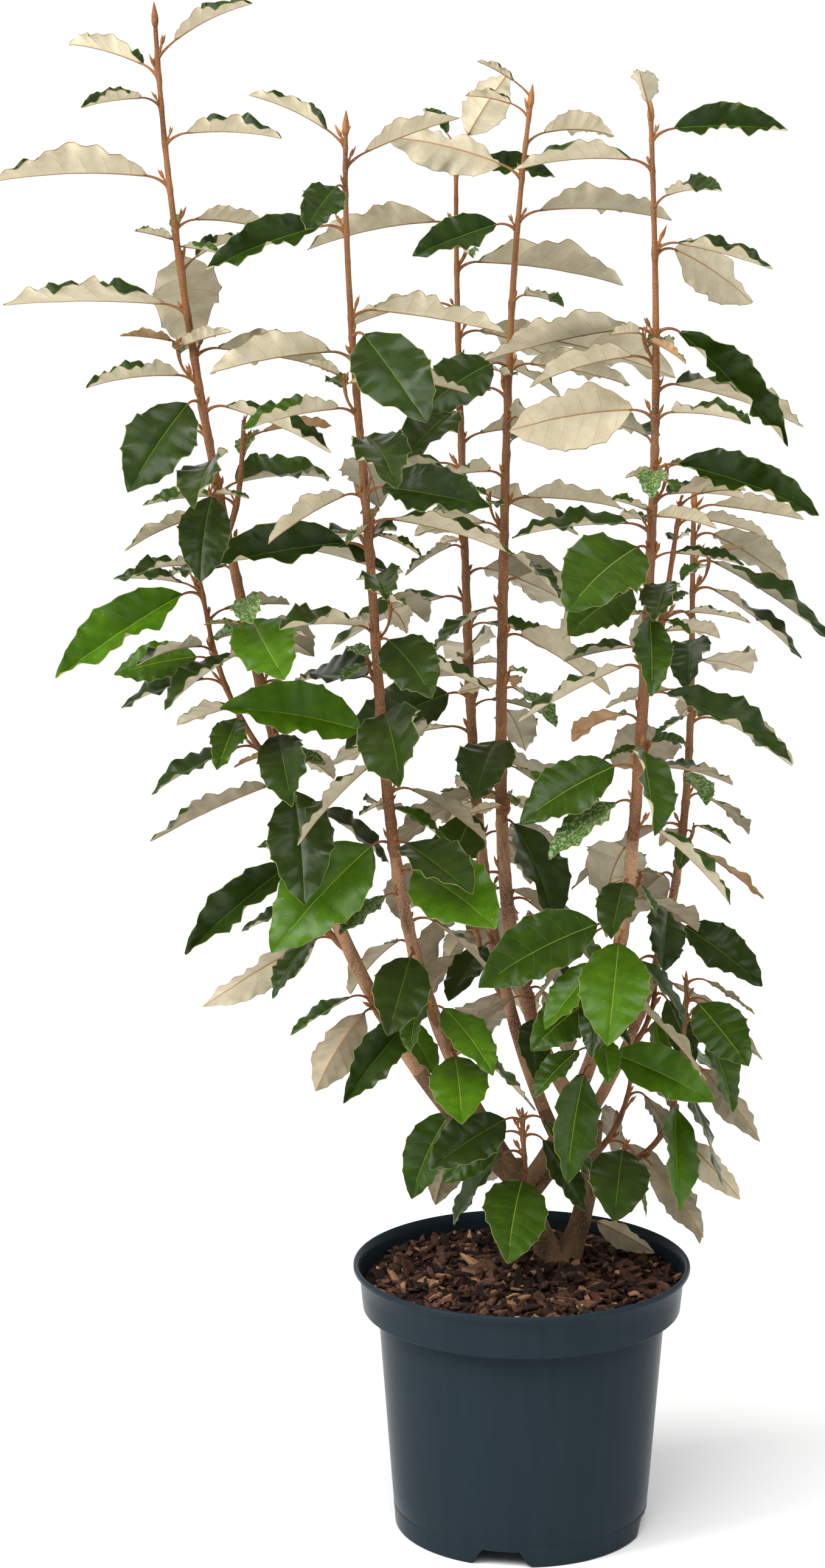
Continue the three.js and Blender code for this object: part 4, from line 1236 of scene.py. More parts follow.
    def fold(self, fold: float, curl: float, away: Array) -> tuple[Array, ...]:
        """How a half blade rises from its midrib and curls at its edge.

        Args:
            fold: The angle at which the halves stand up.
            curl: What the edge turns back by.
            away: Shares of the way from the midrib to the edge.

        Returns:
            The point's share of the half width sideways and upwards, and the blade's slope there.
        """
        def slopes(share: Array) -> Array:
            """The slope at shares of the way to the edge."""
            return fold * np.tanh(share / self.hinge) - curl * share**3

        steps = (np.arange(FOLD_STEPS) + 0.5) / FOLD_STEPS
        inside = slopes(away[..., None] * steps)
        return away * np.cos(inside).mean(-1), away * np.sin(inside).mean(-1), slopes(away)

    def put(self, pile: Pile, leaf: Leaf, above: Skin, below: Skin, dice: Dice) -> None:
        """Adds the leaf's blade as one closed body.

        Args:
            pile: Where it goes.
            leaf: Where the leaf grows.
            above: The skin of its upper face.
            below: The skin of its lower face.
            dice: The leaf's own dice.
        """
        points = self.surface(leaf, dice)
        rows, columns = points[0].shape[:2]
        shares, starts = self.rows(leaf.length)
        middle = len(self.columns) + 1
        strip = np.arange(columns - 1)
        on_rib = (strip == middle - 1) | (strip == middle)
        on_edge = (strip == 0) | (strip == columns - 2)
        on_vein = starts[:-1, None] & ~on_rib & (strip > 1) & (strip < columns - 3)
        ribbed = (shares[:-1] < self.rib_end)[:, None] & on_rib
        skins = list(Skin)
        dark = above is Skin.DEEP
        top = np.full((rows - 1, columns - 1), skins.index(above))
        top[on_vein] = skins.index(Skin.DEEP if dark else Skin.VEIN_ABOVE)
        top[ribbed] = skins.index(Skin.VEIN_ABOVE if dark else Skin.RIB_ABOVE)
        top[:, on_edge] = skins.index(Skin.MARGIN)
        bottom = np.full((rows - 1, columns - 1), skins.index(below))
        bottom[on_vein] = skins.index(Skin.VEIN_BELOW)
        bottom[:, on_rib] = skins.index(Skin.RIB_BELOW)
        bottom[:, on_edge] = skins.index(Skin.MARGIN_BELOW)
        faces = grid_faces(rows, columns)
        under = rows * columns
        loop = self.rim(rows, columns)
        after = np.roll(loop, -1)
        sides = np.stack([after, loop, loop + under, after + under], axis=-1)
        # Both faces are split along the same diagonals, so that neither pokes through the other.
        turned = faces[:, [0, 3, 2, 1]] + under
        pile.put(
            np.vstack(points).reshape(-1, 3),
            (faces, top.ravel()),
            (turned, bottom.ravel()),
            (sides, skins.index(Skin.MARGIN)),
        )

    @staticmethod
    def rim(rows: int, columns: int) -> Array:
        """The numbers of the points round a grid's edge, in order."""
        numbers = np.arange(rows * columns).reshape(rows, columns)
        return np.concatenate([numbers[0, :-1], numbers[:-1, -1], numbers[-1, :0:-1], numbers[:0:-1, 0]])


@dataclass
class AgeingAndPaintedShade:
    """Which skins a leaf has by age, level and chance, each from 0 to 1; level and breadth also paint shade.
    """

    spur_size: float = 0.65
    spur_young: float = 0.6
    spur_copper: float = 0.3
    copper: float = 0.15
    # Painted shade: lower leaves get the darker silver, then grey felt below.
    cream_above: float = 0.58
    silver_above: float = 0.42
    silver_chance: float = 0.75
    # Painted shade: greens darken with height, and low broad leaves get lighter, painted-light greens.
    painted_shade_by_level: float = 0.8
    painted_shade_pivot: float = 0.33
    broad_painted_light: float = 0.2
    broad_below: float = 0.6
    young_above: float = 0.4
    young: float = 0.35
    deep_from: float = 0.4
    mid_from: float = 0.08

    def skins(self, stem: Stem, leaf: Leaf, dice: Dice) -> tuple[Skin, Skin]:
        """The upper and lower skin of a leaf.

        Args:
            stem: The stem that bears it.
            leaf: The leaf.
            dice: The leaves' dice.

        Returns:
            The skin above and the skin below.
        """
        chance = dice.roll((0, 1))
        if stem.size < self.spur_size:
            above = Skin.YOUNG if chance < self.spur_young else Skin.MID
            return above, Skin.COPPER if chance < self.spur_copper else Skin.CREAM
        if leaf.young and chance < self.copper:
            return Skin.YOUNG, Skin.COPPER
        # Painted shade: lower leaves get the darker silver or grey felt instead of the cream one.
        below = Skin.CREAM if leaf.level > self.cream_above else Skin.GREY
        if self.silver_above < leaf.level <= self.cream_above or chance > self.silver_chance:
            below = Skin.SILVER
        # Painted shade: higher leaves get darker greens, and low broad leaves lighter ones.
        shade = dice.roll((0, 1)) + self.painted_shade_by_level * (leaf.level - self.painted_shade_pivot)
        if leaf.broad and leaf.level < self.broad_below:
            shade -= self.broad_painted_light
        if leaf.young and leaf.level > self.young_above and chance < self.young:
            return Skin.YOUNG, below
        above = Skin.MID if shade > self.mid_from else Skin.BRIGHT
        return Skin.DEEP if shade > self.deep_from else above, below


@dataclass
class Shrub:
    """The whole plant: trunk, boughs, twigs, leaves and buds. Lengths are in millimetres."""

    blade: Blade = field(default_factory=Blade)
    ageing_and_painted_shade: AgeingAndPaintedShade = field(default_factory=AgeingAndPaintedShade)
    blade_growth: Span = (0.935, 1.1)
    ring_spacing: float = 3.2
    least_rings: int = 6
    trunk_sides: int = 28
    bough_sides: int = 18
    twig_sides: int = 12
    shoot_sides: int = 9
    unevenness: float = 0.022
    uneven_length: Span = (9.0, 22.0)
    uneven_turn: float = 30.0
    uneven_start: Span = (0.0, 6.0)
    ridges: Span = (0.9, 0.25)
    ridge_counts: tuple[int, int] = (5, 9)
    ridge_turn: float = 1.3
    ridge_length: float = 11.0
    node_swelling: float = 0.7
    node_length: float = 2.6
    node_back: float = 0.35
    scar_swelling: float = 0.25
    scar_turn: float = 2.4
    scar_spacing: float = 21.0
    first_scar: float = 8.0
    bark_steps: tuple[float, ...] = (300.0, 470.0, 760.0)
    bark_wobble: Span = (-25.0, 25.0)
    petiole_sides: int = 7
    petiole_rings: int = 8
    petiole_radii: Span = (1.05, 0.72)
    petiole_start: float = 0.4
    petiole_foot: float = 0.9
    petiole_taper: float = 6.0
    petiole_in_blade: float = 2.0
    petiole_least: float = 0.45
    petiole_growth: float = 130.0
    spur_every: int = 5
    spur_levels: Span = (0.3, 0.82)
    spur_rise: Span = (12.0, 26.0)
    spur_size: Span = (0.4, 0.6)
    spur_spread: float = 0.55
    spur_above: float = 3.0
    spur_ways: tuple[int, ...] = (0, 6, 11)
    tip_bud: Span = (15.0, 2.4)
    tip_bud_share: float = 0.95
    tip_overlap: float = 2.0
    tip_gap: float = 3.0
    tip_side_bud: float = 0.55
    shoot_bud: float = 0.5
    bud_sides: int = 6
    bud_chance: float = 0.95
    bud_room: float = 4.0
    bud_above: float = 2.5
    bud_out: float = 0.7
    bud_vigour: float = 0.2
    bud_size: Span = (0.65, 1.05)
    bud_lean: Span = (0.25, 0.6)
    bud_stalk: Span = (4.0, 8.0)
    bud_stalk_radii: tuple[float, ...] = (1.3, 0.95, 0.9)
    bud_length: Span = (5.5, 9.0)
    bud_radius: float = 1.25
    scale_profile: tuple[float, ...] = (0.62, 1.0, 0.92, 0.55, 0.1)
    scale_bow: float = 0.1
    scale_turn: float = 2.2
    scale_spreads: tuple[Span, Span] = ((0.05, 0.2), (0.25, 0.5))
    scale_sunk: float = 0.6
    side_scale: float = 0.8

    def __post_init__(self) -> None:
        """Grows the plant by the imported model's rule, then the short spurs that only the scene has."""
        by_name = {stem.name: stem for stem in (*TRUNK_LIMBS, *CANES)}
        self.limbs = [replace(limb, flare=ROOT_FLARE) for limb in TRUNK_LIMBS]
        self.side_shoots = [self.shoot_on(by_name, shoot, SIDE_LEAF_GAP) for shoot in SIDE_SHOOTS]
        self.low_shoots = [self.shoot_on(by_name, shoot, LOW_LEAF_GAP) for shoot in LOW_SHOOTS]
        stems = [*CANES, *self.side_shoots, *self.low_shoots]
        self.crown = Crown([*stems, *self.limbs])
        borne = {stem.name: [] for stem in stems}
        by_name |= {stem.name: stem for stem in stems}
        for values in BROAD_LEAVES:
            broad = self.crown.broad_leaf(by_name[values.on], values)
            borne[values.on].append(self.crown.settle(broad))
        for i, stem in enumerate(stems):
            borne[stem.name] += self.crown.grow(stem, Dice(FIRST_SEED + SEED_STEP * i))
        self.leaves = {name: [leaf for leaf in leaves if leaf] for name, leaves in borne.items()}
        self.leaves["foot_right_back"].append(self.crown.broad_leaf(by_name[DROOPING_LEAF.on], DROOPING_LEAF))
        self.spurs = self.grow_spurs()
        log.info("%d leaves grown", sum(map(len, self.leaves.values())))

    @staticmethod
    def shoot_on(by_name: dict[str, Stem], shoot: Stem, leaf_gap: float) -> Stem:
        """A shoot, set on the limb that bears it.

        Args:
            by_name: The limbs by name.
            shoot: The shoot, without a foot.
            leaf_gap: The distance between its leaves.

        Returns:
            The shoot with its foot on the limb's middle.
        """
        parent = by_name[shoot.on]
        foot = tuple(parent.centre(shoot.at - parent.foot[2]))
        return replace(shoot, foot=foot, leaf_gap=leaf_gap, most=len(shoot.leaves), sway=SHOOT_SWAY)

    def grow_spurs(self) -> list[Stem]:
        """Grows short spurs with a few small young leaves, above every few leaves of the canes.

        Returns:
            The spurs that bear leaves.
        """
        dice = Dice(FIRST_SEED - SEED_STEP)
        spurs = []
        for cane in CANES:
            for i, leaf in enumerate(self.leaves[cane.name]):
                rise = dice.roll(self.spur_rise)
                turn = dice.roll(ASIDE)
                low, high = self.spur_levels
                if i % self.spur_every or not low < leaf.level < high:
                    continue
                first = round(math.degrees(leaf.aim) / DIRECTION_STEP)
                spur = replace(
                    SPUR,
                    name=f"{cane.name}_spur_{i}",
                    rise=rise,
                    spread=tuple(heading(leaf.aim + turn)[:2] * rise * self.spur_spread),
                    foot=tuple(cane.centre(leaf.height + self.spur_above)),
                    leaves="".join(f"{(first + step) % 16:x}" for step in self.spur_ways),
                    size=dice.roll(self.spur_size),
                    on=cane.name,
                )
                self.leaves[spur.name] = self.crown.grow(spur, dice)
                if self.leaves[spur.name]:
                    spurs.append(spur)
        return spurs

    def limb(
        self,
        pile: Pile,
        stem: Stem,
        start: float,
        end: float,
        sides: int,
        dice: Dice,
        slot: int | None = None,
    ) -> None:
        """Adds a limb with swollen nodes, old leaf scars and an uneven skin.

        Args:
            pile: Where it goes.
            stem: The limb's curve.
            start: Height above its foot where it starts.
            end: Height above its foot where it ends.
            sides: Number of sides.
            dice: Its dice.
            slot: Its material slot, or None for the age of the bark by height.
        """
        heights = np.linspace(start, end, max(self.least_rings, round((end - start) / self.ring_spacing)))
        upward = heights[:, None]
        turn = turns(sides)
        radii = round_radii(stem.radius(heights), sides)
        for waves in (1, 2, 3):
            lengthwise = np.sin(upward / dice.roll(self.uneven_length) + dice.roll(self.uneven_start))
            around = np.sin(waves * turn + dice.roll(self.uneven_start) + upward / self.uneven_turn)
            radii *= 1 + self.unevenness / waves * (lengthwise + around)
        if stem.flare:
            broad, fine = self.ridges
            few, many = self.ridge_counts
            radii += broad * np.sin(few * turn + self.ridge_turn) * np.exp(-upward / (2 * FLARE_HEIGHT))
            radii += fine * np.sin(many * turn + upward / self.ridge_length)
        nodes = [(leaf.height, leaf.aim, self.node_swelling) for leaf in self.leaves.get(stem.name, [])]
        if stem.bare is not None or stem.flare:
            scars = np.arange(start + self.first_scar, end, self.scar_spacing)
            nodes += [(height, self.scar_turn * i, self.scar_swelling) for i, height in enumerate(scars)]
        for height, aim, swelling in nodes:
            # A node swells more on one side, which changes from node to node as its leaf's direction does.
            facing = 0.5 - 0.5 * np.sin(turn + aim)
            near = np.exp(-(((upward - height) / self.node_length) ** 2))
            radii += swelling * near * (self.node_back + (1 - self.node_back) * facing**2)
        if slot is None:
            ages = np.array(self.bark_steps) + dice.roll(self.bark_wobble)
            slot = np.searchsorted(ages, heights[:-1] + stem.foot[2])
        tube(pile, stem.centre(heights), radii, LIMB_SIDE, slot)

    def make_bark(self) -> None:
        """Makes the trunk and the boughs, with the relief of their bark."""
        pile = Pile()
        dice = Dice(FIRST_SEED + 1)
        for limb in self.limbs:
            self.limb(pile, limb, 0, limb.rise, self.trunk_sides, dice, 0)
        for cane in CANES:
            self.limb(pile, cane, 0, cane.bare - cane.foot[2], self.bough_sides, dice)
        nodes = ("trunk", *(f"{cane.name}_bough" for cane in CANES))
        pile.piece("trunk_and_boughs", [stage.value for stage in Stage], nodes)

    def make_twigs(self) -> None:
        """Makes the leafy ends of the canes, the shoots, the spurs and the leaves' stalks."""
        pile = Pile()
        dice = Dice(FIRST_SEED + 2)
        copper, fresh = (list(Stage).index(stage) for stage in (Stage.COPPER, Stage.SHOOT))
        for cane in CANES:
            top = cane.rise - self.tip_bud[0] + self.tip_overlap
            self.limb(pile, cane, cane.bare - cane.foot[2], top, self.twig_sides, dice)
        for shoot in (*self.side_shoots, *self.low_shoots, *self.spurs):
            slot = copper if shoot.size == 1 else fresh
            self.limb(pile, shoot, 0, shoot.rise, self.shoot_sides, dice, slot)
        shares = np.linspace(0, 1, self.petiole_rings)
        for leaf in (leaf for leaves in self.leaves.values() for leaf in leaves):
            start = self.petiole_start * leaf.stem_radius
            reach = np.linspace(start, leaf.stalk + self.petiole_in_blade, self.petiole_rings)
            centres, _, across, _ = leaf.midrib(reach)
            size = min(1.0, self.petiole_least + leaf.length / self.petiole_growth)
            swollen = self.petiole_foot * np.exp(-self.petiole_taper * shares)
            radii = (mix(*self.petiole_radii, shares) + swollen) * size
            tube(pile, centres, round_radii(radii, self.petiole_sides), across[0], fresh)
        pile.piece("twigs_and_stalks", [stage.value for stage in Stage])

    def scale(self, pile: Pile, start: Array, pointing: Array, length: float, radius: float) -> None:
        """Adds one pointed bud scale, which bows a little upwards.

        Args:
            pile: Where it goes.
            start: Its foot.
            pointing: The direction in which it points.
            length: Its length.
            radius: Its greatest radius.
        """
        profile = np.array(self.scale_profile)
        share = np.linspace(0, 1, len(profile))[:, None]
        centres = start + pointing * share * length + UP * share**2 * length * self.scale_bow
        tube(pile, centres, round_radii(profile * radius, self.bud_sides), BUD_SIDE)

    def bud(self, pile: Pile, dice: Dice, start: Array, way: float, rising: Array, size: float) -> None:
        """Adds a side bud: a short stalk that ends in two or three pointed scales.

        Args:
            pile: Where it goes.
            dice: The buds' dice.
            start: Its foot.
            way: The direction that it leans to, in radians.
            rising: The direction of its stem.
            size: Its size as a share of a full one.
        """
        lean = dice.roll(self.bud_lean)
        pointing = unit(rising * math.cos(lean) + heading(way) * math.sin(lean))
        fork = start + pointing * dice.roll(self.bud_stalk) * size
        stalk = np.linspace(start, fork, len(self.bud_stalk_radii))
        radii = np.array(self.bud_stalk_radii) * size
        tube(pile, stalk, round_radii(radii, self.bud_sides), BUD_SIDE)
        for number in range(dice.pick((2, 3, 3))):
            aside = heading(way + self.scale_turn * number + dice.roll(ASIDE))
            spread = dice.roll(self.scale_spreads[min(number, 1)])
            length = dice.roll(self.bud_length) * size * (self.side_scale if number else 1)
            towards = unit(pointing * math.cos(spread) + aside * math.sin(spread))
            self.scale(pile, fork - towards * self.scale_sunk, towards, length, self.bud_radius * size)

    def make_buds(self) -> None:
        """Makes the pointed buds above the leaves' stalks and at the tips of the stems."""
        pile = Pile()
        dice = Dice(FIRST_SEED + 3)
        for stem in (*CANES, *self.side_shoots, *self.low_shoots, *self.spurs):
            length, radius = self.tip_bud
            is_cane = stem.bare is not None
            share = 1.0 if is_cane else self.shoot_bud * stem.size
            tip = stem.rise - (length if is_cane else 1.0)
            rising = unit(stem.centre(tip + 1) - stem.centre(tip - 1))
            self.scale(pile, stem.centre(tip), rising, length * share * self.tip_bud_share, radius * share)
            vigour = min(1, stem.size + self.bud_vigour)
            for number in range(2):
                way = dice.roll((0, 2 * math.pi))
                foot = stem.centre(tip - self.tip_gap * number)
                self.bud(pile, dice, foot, way, rising, self.tip_side_bud * vigour)
            for leaf in self.leaves[stem.name]:
                if dice.roll((0, 1)) > self.bud_chance or leaf.height > tip - self.bud_room:
                    continue
                rising = unit(stem.centre(leaf.height + 1) - stem.centre(leaf.height - 1))
                outward = leaf.out * float(stem.radius(leaf.height)) * self.bud_out
                foot = stem.centre(leaf.height + self.bud_above) + outward
                self.bud(pile, dice, foot, leaf.aim, rising, dice.roll(self.bud_size) * vigour)
        pile.piece("buds", [Stage.BUD.value])

    def grown(self, leaf: Leaf) -> Leaf:
        """The leaf at its final size: smaller near the foot and larger near the top than its room."""
        growth = mix(*self.blade_growth, leaf.level**2)
        return replace(leaf, length=leaf.length * growth, width=leaf.width * growth)

    def make_leaves(self) -> None:
        """Makes the leaves: a piece for each cane, one for the canes' low shoots and one for the trunk's."""
        shoots = (*self.side_shoots, *self.spurs)
        groups = {cane.name: [cane, *(shoot for shoot in shoots if shoot.on == cane.name)] for cane in CANES}
        for kind in ("low", "foot"):
            groups[kind] = [shoot for shoot in self.low_shoots if shoot.name.startswith(kind)]
        dice = Dice(FIRST_SEED + 4)
        for name, stems in groups.items():
            pile = Pile()
            for stem in stems:
                for leaf in self.leaves[stem.name]:
                    above, below = self.ageing_and_painted_shade.skins(stem, leaf, dice)
                    self.blade.put(pile, self.grown(leaf), above, below, dice)
            masses = [stem.name for stem in stems] if name in ("low", "foot") else [name]
            nodes = tuple(f"{mass}_foliage" for mass in masses)
            pile.piece(f"{name}_leaves", [skin.value for skin in Skin], nodes)

    def build(self) -> None:
        """Makes all the plant's pieces."""
        self.make_bark()
        self.make_twigs()
        self.make_buds()
        self.make_leaves()


def lathe(profile: Array, segments: int) -> tuple[Array, Array]:
    """A turned surface.

    Args:
        profile: Pairs of radius and height, with the material on the left of the path.
        segments: Number of segments round it.

    Returns:
        Its points by profile point and segment, and its quads.
    """
    radii, heights = profile.T[..., None, None]
    return radii * circle(segments) + heights * UP, grid_faces(len(profile), segments, wraps=True)


@dataclass
class NurseryPot:
    """A round moulded pot with a stepped collar, a thin rolled lip and four drainage notches in its foot."""

    segments: int = 192
    lip_points: int = 6
    seam_height: float = 15.0
    seam_depth: float = 0.35
    seam_width: float = 0.9
    notch_roof: float = 0.6
    rounding_kept: float = 0.2
    sharp_angle: float = 40.0
    lip_flare: tuple[Span, ...] = ((2.6, 0.4), (3.7, 1.6), (4.7, 3.3), (5.6, 5.6))

    def arc(self, middle: Span, radius: float, start: float, end: float) -> list[Span]:
        """Points on a rounding of the profile.

        Args:
            middle: Radius and height of the rounding's centre.
            radius: The rounding's radius.
            start: Angle where it starts, in degrees.
            end: Angle where it ends.

        Returns:
            Pairs of radius and height.
        """
        angles = np.radians(np.linspace(start, end, self.lip_points))
        return [(middle[0] + radius * math.cos(a), middle[1] + radius * math.sin(a)) for a in angles]

    def profile(self) -> Array:
        """The pot's profile, from the middle of its underside outwards, up and back inside."""
        channel_outside = BODY_FOOT_RADIUS - WALL
        slope = (BODY_TOP_RADIUS - BODY_FOOT_RADIUS) / (COLLAR_FOOT_HEIGHT - STEP_SLOPE)
        lip_foot = POT_HEIGHT - LIP_HEIGHT
        seam = self.seam_height
        at_seam = BODY_FOOT_RADIUS + slope * seam
        points = [
            (ON_AXIS, 0),
            (FLOOR_BOSS_RADIUS * 0.5, 0),
            (FLOOR_BOSS_RADIUS - 0.5, 0),
            (FLOOR_BOSS_RADIUS, 0.5),
            (FLOOR_BOSS_RADIUS + STEP_SLOPE, DRAIN_CHANNEL_HEIGHT),
            (channel_outside - STEP_SLOPE, DRAIN_CHANNEL_HEIGHT),
            (channel_outside, 0),
            *self.arc((BODY_FOOT_RADIUS - 1, 1), 1, -90, 0),
            (at_seam - 2 * self.seam_width * slope, seam - 2 * self.seam_width),
            (at_seam, seam - self.seam_width),
            (at_seam - self.seam_depth, seam),
            (at_seam, seam + self.seam_width),
            *((BODY_FOOT_RADIUS + slope * z, z) for z in (30, 60, 90, 120, 140, 150)),
            (BODY_TOP_RADIUS - 0.1, COLLAR_FOOT_HEIGHT - STEP_SLOPE - 0.6),
            (BODY_TOP_RADIUS + 0.8, COLLAR_FOOT_HEIGHT - STEP_SLOPE + 0.2),
            (COLLAR_FOOT_RADIUS - 1.4, COLLAR_FOOT_HEIGHT - 0.2),
            *self.arc((COLLAR_FOOT_RADIUS - 1, COLLAR_FOOT_HEIGHT + 1), 1, -80, 0),
            (mix(COLLAR_FOOT_RADIUS, COLLAR_TOP_RADIUS, 0.5), mix(COLLAR_FOOT_HEIGHT, lip_foot, 0.5)),
            (COLLAR_TOP_RADIUS, lip_foot - 0.6),
            (COLLAR_TOP_RADIUS + 0.6, lip_foot),
            (LIP_RADIUS - 1.2, lip_foot + 0.2),
            *self.arc((LIP_RADIUS - 1.3, lip_foot + 1.6), 1.3, -80, 0),
            *self.arc((LIP_RADIUS - 1.7, POT_HEIGHT - 1.7), 1.7, 0, 90),
            *((LIP_RADIUS - inward, POT_HEIGHT - down) for inward, down in self.lip_flare),
            (COLLAR_FOOT_RADIUS - WALL, COLLAR_FOOT_HEIGHT + WALL),
            (BODY_TOP_RADIUS - WALL, COLLAR_FOOT_HEIGHT - STEP_SLOPE + WALL),
            (channel_outside, DRAIN_CHANNEL_HEIGHT + WALL),
            (FLOOR_BOSS_RADIUS + STEP_SLOPE - WALL, DRAIN_CHANNEL_HEIGHT + WALL),
            (FLOOR_BOSS_RADIUS - WALL, WALL),
            (ON_AXIS, WALL),
        ]
        return np.array(points)

    def notch(self, turn: Array) -> Array:
        """How far the notches open at angles round the foot, from 0 between them to 1 under their roof."""
        step = 2 * np.pi / NOTCH_COUNT
        nearest = (turn - math.radians(NOTCH_TURN) + step / 2) % step - step / 2
        distance = np.abs(nearest) * BODY_FOOT_RADIUS
        return np.clip((NOTCH_FOOT_WIDTH / 2 - distance) / ((NOTCH_FOOT_WIDTH - NOTCH_TOP_WIDTH) / 2), 0, 1)

    def build(self) -> None:
        """Makes the pot, with its notches as arches in the foot ring."""
        profile = self.profile()
        points, faces = lathe(profile, self.segments)
        roof = (DRAIN_CHANNEL_HEIGHT + WALL - self.notch_roof) * self.notch(turns(self.segments))
        on_foot = (profile[:, 0] > FLOOR_BOSS_RADIUS + STEP_SLOPE) & (profile[:, 1] <= 1)
        foot = points[on_foot, :, 2]
        points[on_foot, :, 2] = np.maximum(foot, roof + foot * self.rounding_kept)
        pile = Pile()
        underside, inside = end_faces(len(profile), self.segments)
        pile.put(points.reshape(-1, 3), (faces, 0), (underside, 0), (inside, 0))
        pot = pile.piece("nursery_pot", [SATIN_POLYPROPYLENE], ("pot",))
        pot.data.set_sharp_from_angle(angle=math.radians(self.sharp_angle))


@dataclass
class Mulch:
    """Potting mix up to just under the lip, heaped a little and covered with shredded bark."""

    segments: int = 120
    rings: int = 26
    roughness: float = 2.0
    roughness_shares: Span = (0.4, 1.0)
    chips: int = 1500
    crumbs: int = 1300
    chip_length: Span = (8.0, 30.0)
    crumb_length: Span = (2.0, 5.5)
    length_spread: Span = (1.3, 2.6)
    chip_tilt: float = 0.95
    crumb_tilt: float = 1.1
    lift: Span = (-2.0, 3.8)
    edge_room: float = 5.0
    long_chip: float = 10.0
    trunk_room: float = 10.0
    corners: int = 5
    corner_turn: Span = (-0.45, 0.45)
    corner_reach: Span = (0.55, 1.0)
    corner_lift: Span = (-0.1, 0.1)
    width_share: Span = (0.25, 0.75)
    thickness_share: Span = (0.1, 0.26)
    most_thickness: float = 3.0
    tilt_shares: Span = (0.5, 0.6)
    layers: tuple[Span, ...] = ((-0.5, 0.8), (0.1, 1.0), (0.5, 0.74))

    @staticmethod
    def edge_radius() -> float:
        """Radius of the mix at its upper edge, as packed."""
        share = (SOIL_EDGE_HEIGHT - COLLAR_FOOT_HEIGHT) / (POT_HEIGHT - COLLAR_FOOT_HEIGHT)
        return mix(COLLAR_FOOT_RADIUS, COLLAR_TOP_RADIUS, share) - WALL - 2 * SEAT_GAP

    def height(self, radius: Array | float) -> Array:
        """Height of the smooth heap at a distance from the pot's axis."""
        return np.interp(radius, (SOIL_HEAP_RADIUS, self.edge_radius()), (SOIL_HEIGHT, SOIL_EDGE_HEIGHT))

    def build(self) -> None:
        """Makes the mix and the bark on it."""
        rng = np.random.default_rng(FIRST_SEED)
        inset = WALL + SEAT_GAP
        wall = [
            (ON_AXIS, inset),
            (FLOOR_BOSS_RADIUS - inset, inset),
            (FLOOR_BOSS_RADIUS + STEP_SLOPE - inset, DRAIN_CHANNEL_HEIGHT + inset),
            (BODY_FOOT_RADIUS - inset, DRAIN_CHANNEL_HEIGHT + inset),
            (BODY_TOP_RADIUS - inset, COLLAR_FOOT_HEIGHT - STEP_SLOPE + inset),
            (COLLAR_FOOT_RADIUS - inset, COLLAR_FOOT_HEIGHT + inset),
        ]
        radii = np.linspace(self.edge_radius(), ON_AXIS, self.rings)
        top = np.stack([radii, self.height(radii)], axis=-1)
        points, faces = lathe(np.vstack([wall, top]), self.segments)
        uneven = rng.uniform(-self.roughness, self.roughness, points.shape[:2])
        inward = np.linspace(*self.roughness_shares, self.rings)[:, None]
        points[len(wall) :, :, 2] += uneven[len(wall) :] * inward
        pile = Pile()
        pile.put(points.reshape(-1, 3), (faces, 0))
        pile.piece("potting_mix", [POTTING_MIX], ("soil",))
        self.strew(rng)

    def strew(self, rng: np.random.Generator) -> None:
        """Strews splinters and crumbs of bark over the mix.

        Args:
            rng: The seeded source of their places and shapes.
        """
        pile = Pile()
        for count, (shortest, longest), tilt in (
            (self.chips, self.chip_length, self.chip_tilt),
            (self.crumbs, self.crumb_length, self.crumb_tilt),
        ):
            for _ in range(count):
                length = shortest + (longest - shortest) * rng.beta(*self.length_spread)
                reach = self.edge_radius() - self.edge_room * min(length / self.long_chip, 1)
                radius = reach * math.sqrt(rng.random())
                place = radius * heading(rng.uniform(0, 2 * math.pi))
                if min(np.linalg.norm((place - limb.foot)[:2]) for limb in TRUNK_LIMBS) < self.trunk_room:
                    continue
                place[2] = self.height(radius) + rng.uniform(*self.lift)
                slot = int(rng.choice(len(CHIP_WEIGHTS), p=CHIP_WEIGHTS))
                self.splinter(pile, rng, place, length, tilt, slot)
        pile.piece("bark_chips", list(CHIP_FINISHES), smooth=False)

    def splinter(
        self, pile: Pile, rng: np.random.Generator, place: Array, length: float, tilt: float, slot: int
    ) -> None:
        """Adds one splinter of bark: a flat, uneven, many-sided shard.

        Args:
            pile: Where it goes.
            rng: The seeded source of its shape.
            place: Its middle.
            length: Its length.
            tilt: How far it may stand up, in radians.
            slot: Its material slot.
        """
        turn = turns(self.corners) + rng.uniform(*self.corner_turn, self.corners)
        width = length * rng.uniform(*self.width_share)
        thick = min(length * rng.uniform(*self.thickness_share), self.most_thickness)
        reach = rng.uniform(*self.corner_reach, self.corners)
        outline = np.stack([np.cos(turn) * reach * length / 2, np.sin(turn) * reach * width / 2], axis=-1)
        layers = []
        for level, size in self.layers:
            lift = level * thick + rng.uniform(*self.corner_lift, self.corners) * thick
            layers.append(np.column_stack([outline * size, lift]))
        spin = rng.uniform(0, 2 * math.pi)
        lean, tip = (rng.normal(0, tilt * share) for share in self.tilt_shares)
        turned = turn_about(2, spin) @ turn_about(1, lean) @ turn_about(0, tip)
        bottom, top = end_faces(len(layers), self.corners)
        sides = grid_faces(len(layers), self.corners, wraps=True)
        pile.put(np.vstack(layers) @ turned.T + place, (sides, slot), (bottom, slot), (top, slot))


